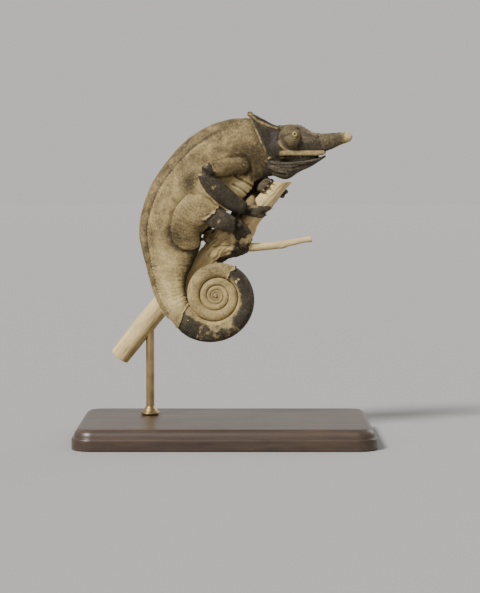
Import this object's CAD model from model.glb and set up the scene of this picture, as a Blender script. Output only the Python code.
"""The finish of the rhinoceros chameleon on its cut branch and display stand.

Lengths are in millimetres until MM turns them into metres. +X is towards the snout, +Y is the
animal's left and +Z is up. One skin covers the whole animal. Its scales are solid mesh over it.
"""

import math

import bpy
import numpy as np
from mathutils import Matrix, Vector
from mathutils.kdtree import KDTree


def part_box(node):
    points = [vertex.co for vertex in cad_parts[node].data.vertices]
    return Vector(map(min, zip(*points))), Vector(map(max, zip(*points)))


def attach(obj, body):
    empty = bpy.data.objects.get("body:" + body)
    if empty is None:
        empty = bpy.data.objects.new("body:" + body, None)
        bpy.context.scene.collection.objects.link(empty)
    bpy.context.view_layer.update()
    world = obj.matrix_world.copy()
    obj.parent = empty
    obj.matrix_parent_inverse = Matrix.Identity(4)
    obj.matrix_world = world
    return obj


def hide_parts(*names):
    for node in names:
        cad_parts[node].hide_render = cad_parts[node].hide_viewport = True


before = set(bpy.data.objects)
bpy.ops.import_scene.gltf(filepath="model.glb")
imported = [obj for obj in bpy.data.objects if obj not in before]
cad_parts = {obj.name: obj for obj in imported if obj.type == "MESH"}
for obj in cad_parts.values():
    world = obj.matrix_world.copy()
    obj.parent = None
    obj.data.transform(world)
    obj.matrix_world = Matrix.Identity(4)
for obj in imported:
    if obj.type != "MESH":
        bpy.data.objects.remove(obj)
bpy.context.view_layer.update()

MM = 0.001
TURN = 2 * math.pi
SIDE = np.array((0.0, 1.0, 0.0))

# --- Dimensions of the animal ---
COAT_DEPTH = 0.25  # the skin lies this far inside the outline
SKIN_PITCH = 0.63  # size of the skin's faces
HEAD_CENTRE = np.array((27.0, 0.0, 127.5))
HEAD_REACH = 19.0  # the skin is finer within this distance of the head's centre
HEAD_FINER = 1.95  # how many times finer
TRUNK_SIDES, LIMB_SIDES, TAIL_SIDES, WRIST_SIDES, DIGIT_SIDES = 72, 36, 28, 24, 16

EYE_TURRET_RADII = np.array((4.5, 4.7, 5.0))
EYE = (27.7, 3.9, 130.7)
GAZE = (0.46, 0.86, 0.24)
EYEBALL_RADIUS = 1.45
EYE_WRINKLES = 0.95  # distance between the eyelid's rings
EYE_RADIUS = 4.7  # of the eyelid where it looks outwards
SOCKET_REACH = (4.8, 5.1)  # half length and half height of the eye's socket
TAIL_COIL_CENTRE = (-3.8, 62.6)  # x and z
TAIL_COIL_SIDE = -5.6  # y of the coil's middle plane
TAIL_COIL_RADIUS = 14.7
TAIL_SHRINK = 0.575  # how the coil's radius shrinks in one turn
TAIL_TURNS = 5.4
TAIL_FILL = 0.2745  # the tail's radius as a share of the coil's
TAIL_OVERLAP = 9  # sections that the trunk and the tail share
DIGIT_WIDTH = 2.1
CLAW_LENGTH = 2.1  # of the longest claws
LEVEL_RUN = 10.0  # the length over which the branch's sections turn level towards its cut upper end
GAP = 0.3  # between neighbouring parts

# Body sections from the throat to the tail root: x, z, y of the centre, half depth, half width.
BODY = (
    (21.5, 123.6, 0.0, 10.0, 4.6), (14.4, 124.6, 0.0, 12.6, 5.5), (8.0, 124.1, 0.0, 14.8, 6.3),
    (1.2, 120.8, 0.0, 16.4, 7.1), (-5.4, 115.6, 0.0, 17.4, 7.9), (-12.2, 109.4, 0.0, 16.6, 8.3),
    (-18.4, 102.0, 0.0, 15.4, 8.2), (-22.6, 93.8, 0.0, 13.8, 7.6), (-23.3, 85.6, 0.0, 13.2, 6.7),
    (-23.9, 78.0, -0.3, 10.9, 5.7), (-24.2, 70.4, -0.8, 8.3, 4.9), (-23.1, 63.1, -1.8, 6.8, 4.7),
    (-20.2, 57.0, -3.1, 6.2, 4.5),
)
BODY_PEAR = 0.12  # how narrow the back is

# Head sections from the casque tip to the snout: x, top z, bottom z, half widths of brow and cheek.
HEAD = (
    (10.2, 141.4, 140.0, 0.5, 0.7), (13.0, 140.4, 135.0, 1.0, 2.2), (16.0, 138.8, 128.6, 1.4, 4.2),
    (18.8, 137.3, 122.6, 2.0, 5.4), (21.8, 136.1, 121.7, 3.0, 5.9), (24.6, 135.9, 122.3, 4.0, 5.6),
    (28.2, 136.4, 122.6, 4.6, 5.0), (32.4, 135.9, 122.6, 4.3, 4.6), (36.0, 133.9, 122.6, 3.7, 4.2),
    (39.4, 132.2, 122.7, 3.0, 3.6), (42.2, 129.4, 123.1, 2.0, 2.6), (43.4, 127.0, 123.9, 0.9, 1.2),
)
# Lower jaw sections: x, top z, bottom z, half width.
JAW = (
    (17.6, 120.9, 117.0, 4.4), (21.6, 120.4, 113.8, 5.3), (26.8, 120.2, 112.5, 5.0),
    (32.4, 120.6, 115.7, 4.3), (37.6, 121.3, 118.3, 3.4), (41.2, 122.1, 120.6, 2.3),
    (43.2, 122.9, 122.0, 0.9),
)
# Horn sections: x, top z, bottom z, half width.
HORN = (
    (37.0, 133.0, 125.9, 2.4), (41.5, 132.5, 124.2, 2.4), (45.5, 132.6, 125.1, 2.1),
    (49.6, 133.0, 127.0, 1.8), (52.4, 132.8, 128.2, 1.6), (54.0, 132.2, 128.9, 1.2),
    (54.8, 131.5, 130.3, 0.5),
)
# Branch and twig sections: x, z, y, radius.
BRANCH = (
    (-46.5, 34.6, 17.0, 4.4), (-36.9, 46.7, 14.5, 4.5), (-27.6, 57.9, 12.0, 4.5),
    (-16.4, 69.3, 8.6, 4.7), (-6.0, 79.9, 5.0, 5.1), (-1.3, 84.9, 3.2, 5.5), (3.0, 89.2, 2.0, 5.9),
    (8.4, 92.6, 1.0, 4.7), (11.9, 96.4, 0.4, 3.9), (15.8, 101.5, 0.0, 3.8), (19.4, 106.1, 0.0, 3.7),
    (23.6, 111.3, 0.0, 3.5),
)
TWIG = (
    (4.4, 85.8, 0.8, 2.8), (10.8, 83.4, 0.0, 2.0), (16.0, 83.6, -0.4, 1.7), (22.0, 84.1, -0.8, 1.6),
    (28.1, 85.2, -1.1, 1.4), (33.3, 86.3, -1.4, 1.25), (37.2, 86.9, -1.6, 1.3),
)
# Limb sections: x, z, y, half depth, half width. The right side is the one towards -Y.
LIMBS = {
    "upper_arm_right": (
        (8.4, 118.6, -4.4, 4.3, 3.2), (3.0, 118.2, -7.4, 4.0, 3.2), (-2.6, 117.2, -9.9, 3.7, 3.2),
        (-7.6, 115.6, -11.3, 3.5, 3.3)),
    "forearm_right": (
        (-8.3, 114.4, -11.5, 3.4, 3.2), (-6.4, 111.0, -11.5, 4.2, 3.3), (-2.3, 106.9, -10.9, 4.5, 3.4),
        (2.2, 103.5, -9.8, 4.1, 3.1), (6.2, 101.2, -8.4, 3.5, 2.7), (9.2, 100.0, -7.3, 2.9, 2.4)),
    "upper_arm_left": (
        (8.4, 118.6, 4.4, 4.3, 3.2), (5.8, 114.0, 7.6, 4.0, 3.2), (3.4, 109.6, 10.3, 3.6, 3.1),
        (1.4, 105.8, 12.2, 3.4, 3.1)),
    "forearm_left": (
        (1.4, 104.4, 12.6, 3.3, 3.0), (5.6, 105.4, 12.2, 4.1, 3.2), (10.8, 107.4, 10.8, 3.9, 3.0),
        (15.8, 110.7, 9.2, 3.1, 2.4), (20.2, 111.6, 7.4, 2.5, 2.1)),
    "thigh_right": (
        (-16.8, 84.6, -4.4, 6.4, 3.3), (-17.2, 91.0, -7.0, 6.5, 3.6), (-16.2, 97.4, -9.6, 5.9, 3.7),
        (-13.4, 102.8, -11.3, 4.7, 3.4)),
    "shank_right": (
        (-11.6, 103.0, -11.8, 4.1, 3.2), (-8.2, 99.4, -11.6, 4.9, 3.3), (-3.7, 96.2, -10.8, 4.7, 3.2),
        (1.0, 94.0, -9.5, 4.1, 2.9), (4.2, 93.2, -7.6, 3.3, 2.4)),
    "thigh_left": (
        (-16.8, 84.6, 4.4, 6.2, 3.3), (-17.4, 91.0, 7.4, 6.1, 3.5), (-16.8, 97.4, 10.8, 5.4, 3.5),
        (-15.4, 102.4, 13.4, 4.3, 3.2)),
    "shank_left": (
        (-14.8, 102.6, 14.4, 3.9, 3.1), (-12.0, 97.6, 14.2, 4.6, 3.1), (-9.4, 92.8, 12.8, 3.8, 2.8),
        (-7.4, 89.0, 11.0, 2.8, 2.2)),
}
# Each grip on the branch: its place along it from 0 to 1, its limb, the angle of the palm, and
# for each of its two bundles: digits, angle of the tips, shift along the branch at the root and
# at the tip, and fullness. Angles go from the belly's side of the branch, towards +Y if positive.
GRIPS = {
    "hand_right": (0.735, "forearm_right", -0.85, ((2, -2.15, 0.4, 5.4, 1.5), (3, 1.9, 3.0, 6.8, 1.0))),
    "hand_left": (0.92, "forearm_left", 0.9, ((3, -0.95, -0.9, 1.3, 1.0), (2, 2.9, 1.0, 3.4, 1.0))),
    "foot_right": (0.612, "shank_right", -0.85, ((3, -2.2, 0.0, 0.2, 1.12), (2, 1.9, 0.6, 1.0, 1.1))),
    "foot_left": (0.42, "shank_left", 0.85, ((2, -0.7, 0.4, 0.6, 1.1), (3, 2.4, 0.0, 1.0, 1.1))),
}


# --- Numbers and curves ---
def unit(value):
    return value / np.maximum(np.linalg.norm(value, axis=-1, keepdims=True), 1e-9)


def vectors(*parts):
    """Vectors made from their parts, any of which may be a single value."""
    return np.stack(np.broadcast_arrays(*parts), -1)


def turns(count, shift=0.0):
    """Angles evenly spaced round a circle, moved on by a share of their spacing."""
    return (np.arange(count) + shift) * TURN / count


def wrapped(angle):
    """The same angle between minus and plus half a turn."""
    return (angle + math.pi) % TURN - math.pi


def catmull(p0, p1, p2, p3, u):
    pull = (2 * p0 - 5 * p1 + 4 * p2 - p3) * u * u
    return 0.5 * (2 * p1 + (p2 - p0) * u + pull + (3 * p1 - p0 - 3 * p2 + p3) * u**3)


def blend_rows(rows, t):
    """The rows at each t, from 0 to 1, on a smooth curve through the given rows."""
    rows = np.asarray(rows, float)
    last = len(rows) - 1
    place = np.clip(np.atleast_1d(t), 0.0, 1.0) * last
    i = np.minimum(place.astype(int), last - 1)
    ends = [rows[np.clip(i + k, 0, last)] for k in (-1, 0, 1, 2)]
    return catmull(*ends, (place - i)[:, None])


def round_outlines(outlines, count):
    """Closed smooth curves through each row of outline points."""
    n = outlines.shape[1]
    place = np.arange(count) * n / count
    i = place.astype(int)
    ends = [outlines[:, (i + k) % n] for k in (-1, 0, 1, 2)]
    return catmull(*ends, (place - i)[None, :, None])


def soft(value, low, high):
    """A smooth step from 0 at low to 1 at high."""
    share = np.clip((value - low) / (high - low), 0.0, 1.0)
    return share * share * (3 - 2 * share)


def bump(distance, reach):
    return np.exp(-((distance / reach) ** 2))


HASH_FACTORS = (73856093, 19349663, 83492791)  # large primes that scatter the noise's cells


def noise(points, size, seed=0):
    """Smooth noise from -1 to 1 with features of about that size."""
    scaled = np.asarray(points, float) / size + 31.7 * seed + 1000.0
    cell = np.floor(scaled).astype(np.int64)
    part = scaled - cell
    part = part * part * (3 - 2 * part)
    total = np.zeros(len(scaled))
    for corner in np.ndindex(2, 2, 2):
        a, b, c = ((cell + corner) * HASH_FACTORS).T
        key = a ^ b ^ c
        key = (key ^ (key >> 13)) * 1274126177 & 0xFFFFFFFF
        value = ((key ^ (key >> 16)) & 0xFFFF) / 32767.5 - 1
        a, b, c = np.abs(1 - np.array(corner) - part).T
        total += value * (a * b * c)
    return total


def run_along(line):
    """The distance along a bent line at each of its points."""
    return np.concatenate([[0.0], np.cumsum(np.linalg.norm(np.diff(line, axis=0), axis=1))])


def rows_at(place, known, rows):
    """The rows at places between the known ones."""
    return np.stack([np.interp(place, known, column) for column in rows.T], -1)


def near_line(points, line):
    """The distance from each point to a bent line, and the place along it in millimetres."""
    line = np.asarray(line, float)
    best, place, run = np.full(len(points), 1e9), np.zeros(len(points)), 0.0
    for start, end in zip(line, line[1:]):
        step = end - start
        length = np.linalg.norm(step)
        share = np.clip((points - start) @ step / length**2, 0.0, 1.0)
        distance = np.linalg.norm(points - start - share[:, None] * step, axis=1)
        closer = distance < best
        best = np.where(closer, distance, best)
        place = np.where(closer, run + share * length, place)
        run += length
    return best, place


def add_domes(rows, wanted, lifts, dome):
    """Adds shrinking rings to the start and the end of a run of rings, where they are wanted."""
    for is_wanted, i in zip(wanted, (0, -1)):
        if is_wanted:
            domes = [dome(i, lift, math.sqrt(1 - lift * lift)) for lift in lifts]
            rows = domes[::-1] + rows if i == 0 else rows + domes
    return rows


class Tube:
    """A run of elliptical sections, with a place along it in millimetres and an angle round it."""

    def __init__(self, centres, depths, widths, pear=0.0):
        self.centres, self.pear = centres, pear
        self.depths, self.widths = np.asarray(depths), np.asarray(widths)
        self.along = unit(np.gradient(centres, axis=0))
        self.up = unit(np.cross(SIDE, self.along))
        self.side = np.cross(self.along, self.up)
        self.place = run_along(centres)
        self.length = self.place[-1]

    def sample(self, values, place):
        if values.ndim == 1:
            return np.interp(place, self.place, values)
        return rows_at(place, self.place, values)

    def at(self, place, angle, out=0.0):
        """(points, outward directions, directions along) on the surface, or raised above it."""
        place, angle = np.broadcast_arrays(np.asarray(place, float), np.asarray(angle, float))
        place, angle = place.ravel(), angle.ravel()
        up, side = self.sample(self.up, place), self.sample(self.side, place)
        deep, wide = self.sample(self.depths, place), self.sample(self.widths, place)
        cos, sin = np.cos(angle), np.sin(angle)
        bulge = 1 - self.pear * cos
        spot = self.sample(self.centres, place)
        spot = spot + up * (deep * cos)[:, None] + side * (wide * sin * bulge)[:, None]
        outward = unit(up * (cos / deep)[:, None] + side * (sin / wide)[:, None])
        return spot + outward * np.reshape(out, (-1, 1)), outward, unit(self.sample(self.along, place))

    def locate(self, points):
        """(place along, angle round) of each point."""
        c = self.centres
        square = (points**2).sum(1)[:, None] - 2 * points @ c.T + (c**2).sum(1)[None, :]
        i = square.argmin(1)
        away = points - c[i]
        place = self.place[i] + (away * self.along[i]).sum(1)
        deep = (away * self.up[i]).sum(1) / self.depths[i]
        wide = (away * self.side[i]).sum(1) / self.widths[i]
        return place, np.arctan2(wide, deep)

    def rings(self, sides, round_start=False, round_end=False):
        """Rings of points round the tube, with a dome at a rounded end."""
        angle = turns(sides)
        cos, sin = np.cos(angle)[None, :, None], np.sin(angle)[None, :, None]
        bulge = 1 - self.pear * cos

        def ring(centre, depth, width, i):
            across = self.side[i][None, None] * width * sin * bulge
            return centre[None, None] + self.up[i][None, None] * depth * cos + across

        def dome(i, lift, size):
            reach = min(self.depths[i], self.widths[i]) * (1 if i else -1)
            centre = self.centres[i] + self.along[i] * reach * lift
            return ring(centre, self.depths[i] * size, self.widths[i] * size, i)

        rows = [ring(self.centres[i], self.depths[i], self.widths[i], i) for i in range(len(self.centres))]
        return np.concatenate(add_domes(rows, (round_start, round_end), (0.35, 0.62, 0.84, 0.96), dome))


def tube_between(rows, count, inset=0.0):
    """A tube through rows of x, z, y, half depth and half width."""
    picked = blend_rows(rows, np.linspace(0, 1, count))
    return Tube(picked[:, (0, 2, 1)], picked[:, 3] - inset, picked[:, 4] - inset)


# --- Meshes ---
def grid_faces(rows, columns, closed=True):
    """Faces between the points of a grid, which may close round on itself."""
    i, k = np.meshgrid(np.arange(rows - 1), np.arange(columns if closed else columns - 1), indexing="ij")
    a, b = i * columns + k, i * columns + (k + 1) % columns
    return np.stack([a, b, b + columns, a + columns], -1).reshape(-1, 4).tolist()


def closed_grid(rings):
    """Points and faces of a closed skin through rings, with a pole at each end."""
    n, sides, _ = rings.shape
    points = np.concatenate([rings.reshape(-1, 3), rings[:1].mean(1), rings[-1:].mean(1)])
    faces = grid_faces(n, sides)
    for k in range(sides):
        after = (k + 1) % sides
        faces.append([n * sides, after, k])
        faces.append([n * sides + 1, (n - 1) * sides + k, (n - 1) * sides + after])
    return points, outward_faces(points, faces)


def outward_faces(points, faces):
    """Turns the faces of a closed mesh round if they point inwards."""
    fans = np.array([(f[0], f[i], f[i + 1]) for f in faces for i in range(1, len(f) - 1)])
    middle = points.mean(0)
    if np.linalg.det(points[fans] - middle).sum() < 0:
        return [f[::-1] for f in faces]
    return faces


def join_meshes(meshes):
    """One list of points and one of faces from several."""
    points, faces, start = [], [], 0
    for some_points, some_faces in meshes:
        points.append(some_points)
        faces += [[start + k for k in face] for face in some_faces]
        start += len(some_points)
    return np.concatenate(points), faces


def add_object(name, data):
    obj = bpy.data.objects.new(name, data)
    bpy.context.scene.collection.objects.link(obj)
    return obj


def make_object(name, points, faces):
    mesh = bpy.data.meshes.new(name)
    mesh.from_pydata((np.asarray(points) * MM).tolist(), [], faces)
    mesh.update()
    mesh.shade_smooth()
    return add_object(name, mesh)


def read_points(mesh):
    points = np.empty(len(mesh.vertices) * 3, np.float32)
    mesh.vertices.foreach_get("co", points)
    return points.reshape(-1, 3).astype(float) / MM


def write_points(mesh, points):
    mesh.vertices.foreach_set("co", (points * MM).astype(np.float32).ravel())
    mesh.update()


def read_normals(mesh):
    normals = np.empty(len(mesh.vertices) * 3, np.float32)
    mesh.vertex_normals.foreach_get("vector", normals)
    return normals.reshape(-1, 3).astype(float)


def mark_points(obj, **marks):
    """Gives the points of a piece named values or vectors."""
    for name, values in marks.items():
        values = np.asarray(values, np.float32)
        kind, key = ("FLOAT_VECTOR", "vector") if values.ndim > 1 else ("FLOAT", "value")
        obj.data.attributes.new(name, kind, "POINT").data.foreach_set(key, values.ravel())


def apply_modifiers(obj):
    graph = bpy.context.evaluated_depsgraph_get()
    mesh = bpy.data.meshes.new_from_object(obj.evaluated_get(graph))
    obj.modifiers.clear()
    obj.data = mesh
    mesh.shade_smooth()


def thicken(obj, wall):
    """Gives a sheet a wall, half on each side."""
    solid = obj.modifiers.new("wall", "SOLIDIFY")
    solid.thickness = wall * MM
    solid.offset = 0.0
    apply_modifiers(obj)


def finish_piece(obj, slot, material, replaces=()):
    """Gives a finished piece its material, its body, its slot and the nodes that it stands for."""
    obj.data.materials.clear()
    obj.data.materials.append(material)
    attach(obj, "root")
    if replaces:
        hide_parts(*replaces)


# --- The body, tail and branch as tubes ---
def tail_run(per_turn):
    """Centres, half depths and half widths of the coil: a spiral inwards from its lower left."""
    quarter = math.pi / 2
    start, end = -0.5 * quarter, TAIL_TURNS * TURN
    turned = np.linspace(start, end, int((end - start) / TURN * per_turn) + 1)
    radius = TAIL_COIL_RADIUS * TAIL_SHRINK ** (turned / TURN)
    flare = np.clip(1 - (turned - start) / (1.6 * quarter), 0, 1) ** 1.5
    reach = radius + flare * 0.9
    side = TAIL_COIL_SIDE + 1.3 * np.clip(1 - (turned - start) / quarter, 0, 1) ** 1.5
    tip = np.clip(1 - (end - turned) / quarter, 0, 1)
    reach = reach * (1 - 1.6 * tip)
    thick = np.maximum(TAIL_FILL * radius, 1.15 * np.sqrt(tip))
    x, z = TAIL_COIL_CENTRE
    angle = turned - quarter
    centres = vectors(x + reach * np.cos(angle), side, z + reach * np.sin(angle))
    return centres, thick + flare, (thick + flare * 0.4) * 0.98


def body_and_tail(inset, body_count=145, per_turn=84):
    """The trunk's tube and the tail's, which starts inside the trunk's end."""
    body = blend_rows(BODY, np.linspace(0, 1, body_count))
    coil, depths, widths = tail_run(per_turn)
    centres = np.concatenate([body[:, (0, 2, 1)], coil[1:]])
    depths, widths = np.concatenate([body[:, 3], depths[1:]]), np.concatenate([body[:, 4], widths[1:]])
    thinner = np.minimum(1.0, depths / 3.8) * np.where(np.arange(len(depths)) < body_count, 1.0, 0.3)
    depths, widths = depths - inset * thinner, widths - inset * thinner
    early = body_count - TAIL_OVERLAP
    trunk = Tube(centres[:body_count], depths[:body_count], widths[:body_count], BODY_PEAR)
    tail = Tube(centres[early:], depths[early:].copy(), widths[early:].copy())
    shy = 0.32 * (1 - soft(tail.place, 4.0, 9.0))
    tail.depths -= shy
    tail.widths -= shy
    return trunk, tail


TRUNK, TAIL = body_and_tail(COAT_DEPTH)
TAIL_START = TAIL.place[TAIL_OVERLAP - 1]  # place along the tail where the coil starts
COIL_REACH = np.hypot(TAIL.centres[:, 0] - TAIL_COIL_CENTRE[0], TAIL.centres[:, 2] - TAIL_COIL_CENTRE[1])
LIMB_TUBES = {name: tube_between(rows, 30, COAT_DEPTH) for name, rows in LIMBS.items()}


def branch_place(t):
    """(centre, direction, radius) of the branch at t, from its lower end to its upper."""
    here, low, high = (blend_rows(BRANCH, t + step)[0] for step in (0.0, -0.01, 0.01))
    return here[[0, 2, 1]], unit((high - low)[[0, 2, 1]]), here[3]


def wrap_section(t, angle, shift, out, thick, width):
    """A section of a digit lying on the branch: its centre, its thickness and its breadth."""
    centre, along, radius = branch_place(t)
    belly = unit(np.cross(along, SIDE))
    across = np.cross(belly, along)
    outward = belly * math.cos(angle) + across * math.sin(angle)
    return centre + outward * (radius + out + thick) + along * shift, outward * thick, along * width


def digit_rings(sections, sides, round_start=False, round_end=False):
    """Rings through hand-placed sections, with a dome at a rounded end."""
    angle = turns(sides)
    cos, sin = np.cos(angle)[:, None], np.sin(angle)[:, None]
    rows = [centre + depth * cos + width * sin for centre, depth, width in sections]

    def dome(i, lift, size):
        centre, depth, width = sections[i]
        before = sections[-2 if i else 1][0]
        onward = unit(centre - before) * min(np.linalg.norm(depth), np.linalg.norm(width))
        return centre + onward * lift + (depth * cos + width * sin) * size

    return np.stack(add_domes(rows, (round_start, round_end), (0.4, 0.72, 0.93), dome))


def bundle_parts(t, palm_angle, digits, tip_angle, root_shift, tip_shift, fullness):
    """Skin rings of fused digits wrapped round one side of the branch, and the rings of their claws."""
    span = tip_angle - palm_angle

    def section(share, extra, thick, width):
        shift = root_shift + (tip_shift - root_shift) * share + extra
        return wrap_section(t, palm_angle + span * share, shift, GAP * 0.6, thick, width)

    pitch = DIGIT_WIDTH * fullness
    breadth = pitch * digits / 2
    mitten = [section(0.06 * i, 0.0, 1.35 * fullness, breadth * (0.84 + 0.015 * i)) for i in range(11)]
    skin, claws = [digit_rings(mitten, 28, True, True)], []
    for k in range(digits):
        aside = k - (digits - 1) / 2
        reach = 0.93 - 0.05 * abs(aside)
        shares = np.linspace(0.2, reach, 9)
        parted = aside * pitch * (0.9 + 0.24 * soft(shares, 0.45, reach))
        finger = [section(s, p, 1.22 * fullness, 0.95 * fullness) for s, p in zip(shares, parted)]
        skin.append(digit_rings(finger, DIGIT_SIDES, False, True))
        tip, outward, breadthwise = finger[-1]
        onward = unit(tip - finger[-2][0])
        claw = []
        for share in np.linspace(-0.25, 1.0, 9):
            middle = tip + onward * CLAW_LENGTH * share * (0.65 + 0.5 * fullness)
            middle = middle + outward * (0.34 * share - 0.85 * share * share)
            size = (0.22 + 0.4 * fullness) * (1 - max(share, 0.0) ** 1.4) + 0.06
            claw.append((middle, unit(outward) * size, unit(breadthwise) * size * 0.78))
        claws.append(digit_rings(claw, 12))
    return skin, claws


def grip_parts(name):
    """Skin rings and claw rings of one hand or foot."""
    t, limb, palm_angle, bundles = GRIPS[name]
    x, z, y, deep, wide = LIMBS[limb][-1]
    wrist = np.array((x, y, z))
    palm = wrap_section(t, palm_angle, 0.6, GAP + 1.9, 0.0, 1.0)[0]
    centres = np.linspace(wrist, palm, 8)
    wrist_tube = Tube(centres, np.full(8, deep - 0.1), np.full(8, wide - 0.1))
    skin, claws = [wrist_tube.rings(WRIST_SIDES, True, True)], []
    for bundle in bundles:
        some_skin, some_claws = bundle_parts(t, palm_angle, *bundle)
        skin += some_skin
        claws += some_claws
    return skin, claws


# --- The head ---
def head_outlines(rows):
    """Outlines of the upper head: crest, brow, temple, cheek and palate."""
    x, top, bottom, brow, cheek = rows.T
    tall, none = top - bottom, np.zeros(len(rows))
    half = (
        (none, top),
        (brow * 0.62, top - tall * 0.02),
        (brow, top - tall * 0.11),
        (brow * 0.35 + cheek * 0.65, top - tall * 0.4),
        (cheek, top - tall * 0.72),
        (cheek * 0.86, top - tall * 0.95),
        (cheek * 0.5, bottom),
        (none, bottom),
    )
    return mirrored_outlines(x, half)


def jaw_outlines(rows):
    """Outlines of the lower jaw and its throat pouch."""
    x, top, bottom, wide = rows.T
    tall, none = top - bottom, np.zeros(len(rows))
    half = (
        (none, top), (wide * 0.7, top), (wide, top - tall * 0.14), (wide * 0.94, top - tall * 0.45),
        (wide * 0.62, top - tall * 0.82), (none, bottom),
    )
    return mirrored_outlines(x, half)


def mirrored_outlines(x, half):
    outline = list(half) + [(-y, z) for y, z in half[-2:0:-1]]
    rounded = round_outlines(np.stack([vectors(*pair) for pair in outline], 1), 60)
    return vectors(x[:, None], *np.moveaxis(rounded, -1, 0))


def horn_rings(count=90, sides=36):
    x, top, bottom, wide = blend_rows(HORN, np.linspace(0, 1, count)).T
    angle = turns(sides)
    across = wide[:, None] * np.sin(angle) * (1.15 - 0.15 * np.cos(angle))
    up = ((top + bottom) / 2)[:, None] + ((top - bottom) / 2)[:, None] * np.cos(angle)
    return vectors(x[:, None], across, up)


def eye_place(sign):
    """(centre, gaze direction) of an eye turret."""
    return np.array((EYE[0], sign * EYE[1], EYE[2])), unit(np.array((GAZE[0], sign * GAZE[1], GAZE[2])))


def eye_axes(sign):
    """(centre, gaze, direction forwards, direction up) of an eye turret."""
    centre, gaze = eye_place(sign)
    level = unit(np.cross(gaze, (0.0, 0.0, 1.0))) * sign
    return centre, gaze, level, np.cross(level, gaze) * sign


def socket_share(x, z):
    """How far from the eye's middle each place is, seen from the side: 1 at the socket's edge."""
    return np.hypot((x - EYE[0]) / SOCKET_REACH[0], (z - EYE[2]) / SOCKET_REACH[1])


def pupil_rim(reach):
    """How high the lid's rim round the pupil stands at a distance from the pupil."""
    return bump(reach - 0.74, 0.32)


def crease_share(left, down):
    """How deep the eye's crease is at a place left of and below the pupil."""
    return bump(down + 0.75 - 0.2 * left, 0.24) * soft(left, 0.9, 1.3)


def ball(centre, radii, rows=20, sides=32):
    lift = np.linspace(0.06, math.pi - 0.06, rows)[:, None]
    angle = turns(sides)[None, :]
    shape = vectors(np.sin(lift) * np.cos(angle), np.sin(lift) * np.sin(angle), np.cos(lift))
    return np.asarray(centre) + shape * np.asarray(radii)


# --- The skin's parts before they are fused ---
# Flesh that fills the bend of each knee: limb, centre and radii.
KNEE_FLESH = (
    ("thigh_right", (-12.0, -10.9, 98.0), (4.8, 3.3, 5.4)),
    ("thigh_left", (-13.0, 12.6, 96.6), (3.8, 2.9, 4.4)),
)


def flesh_parts():
    """(name, rings) of every shape that the skin covers. The tail is a separate length of it."""
    parts = [("trunk", TRUNK.rings(TRUNK_SIDES, True, True))]
    t = np.linspace(0, 1, 100)
    parts.append(("head", head_outlines(blend_rows(HEAD, t) - (0, 0.65, -0.1, 0.1, 0.2))))
    parts.append(("jaw", jaw_outlines(blend_rows(JAW, t) - (0, 0.05, -0.15, 0.15))))
    parts.append(("cheek", ball((20.6, 0.0, 122.6), (3.6, 5.1, 4.2))))
    parts.append(("tongue", ball((31.6, 0.0, 121.5), (10.4, 2.6, 1.5))))
    for sign in (-1, 1):
        centre, _ = eye_place(sign)
        parts.append(("turret", ball(centre, EYE_TURRET_RADII - 0.2)))
    for name, tube in LIMB_TUBES.items():
        parts.append((name, tube.rings(LIMB_SIDES, True, True)))
    for name, centre, radii in KNEE_FLESH:
        parts.append((name, ball(centre, radii)))
    for name in GRIPS:
        parts += [(name, rings) for rings in grip_parts(name)[0]]
    return parts


def enlarge_head(points, back=False):
    """Spreads the space round the head so that an even pitch is finer there, or undoes it."""
    away = points - HEAD_CENTRE
    distance = np.linalg.norm(away, axis=1)
    plain = np.array((0.0, HEAD_REACH, 1000.0))
    spread = np.array((0.0, HEAD_REACH * HEAD_FINER, 1000.0 + HEAD_REACH * (HEAD_FINER - 1)))
    known, wanted = (spread, plain) if back else (plain, spread)
    share = np.interp(distance, known, wanted) / np.maximum(distance, 1e-6)
    return HEAD_CENTRE + away * share[:, None]


def fused_skin(parts):
    """One closed skin round all the shapes, finer on the head."""
    points, faces = join_meshes([closed_grid(rings) for _, rings in parts])
    skin = make_object("skin", enlarge_head(points), faces)
    fuse = skin.modifiers.new("fuse", "REMESH")
    fuse.mode = "VOXEL"
    fuse.voxel_size = SKIN_PITCH * MM
    soften = skin.modifiers.new("soften", "SMOOTH")
    soften.iterations = 3
    apply_modifiers(skin)
    write_points(skin.data, enlarge_head(read_points(skin.data), back=True))
    return skin


# --- Lines and places on the head and body: x and z, the same on both sides ---
CASQUE_MARGIN = ((9.9, 141.5), (13.8, 134.1), (16.4, 127.6), (17.7, 124.0), (19.0, 121.8), (16.8, 118.8),
                 (16.0, 116.6), (16.0, 108.0))
CASQUE_CREST = ((10.6, 140.4), (13.8, 137.6), (17.3, 135.9), (20.3, 134.9), (22.6, 134.3))
BROW_CREST = ((23.6, 135.2), (27.2, 136.0), (29.8, 135.9), (32.6, 135.0), (35.0, 133.6), (37.4, 132.3),
              (39.4, 131.3))
CHEEK_FOLD = ((23.2, 128.6), (23.9, 127.2), (25.2, 125.7), (27.4, 124.5))
THROAT_FOLDS = (
    (0.25, ((18.6, 121.0), (20.0, 118.9), (23.5, 117.4), (29.0, 117.3), (34.0, 118.6))),
    (0.45, ((16.8, 119.6), (18.4, 117.2), (21.5, 115.3), (26.0, 114.7))),
)
# Folds of the chest under the upper arm.
CHEST_FOLDS = (
    ((4.4, 113.8), (8.4, 111.6), (12.8, 109.0)),
    ((3.2, 110.6), (6.8, 108.6), (10.4, 105.6)),
)
TAIL_FOLD_PITCH = 1.85
MOUTH_CORNER = 23.8
MOUTH_STATIONS = (24.0, 36.0, 43.0)  # places along the mouth where its half widths are given
LIP = (122.6, 124.7)  # heights of the upper lip's edge and of the top of its pale band
MARGIN_X, MARGIN_Z = np.array(CASQUE_MARGIN).T


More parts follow.
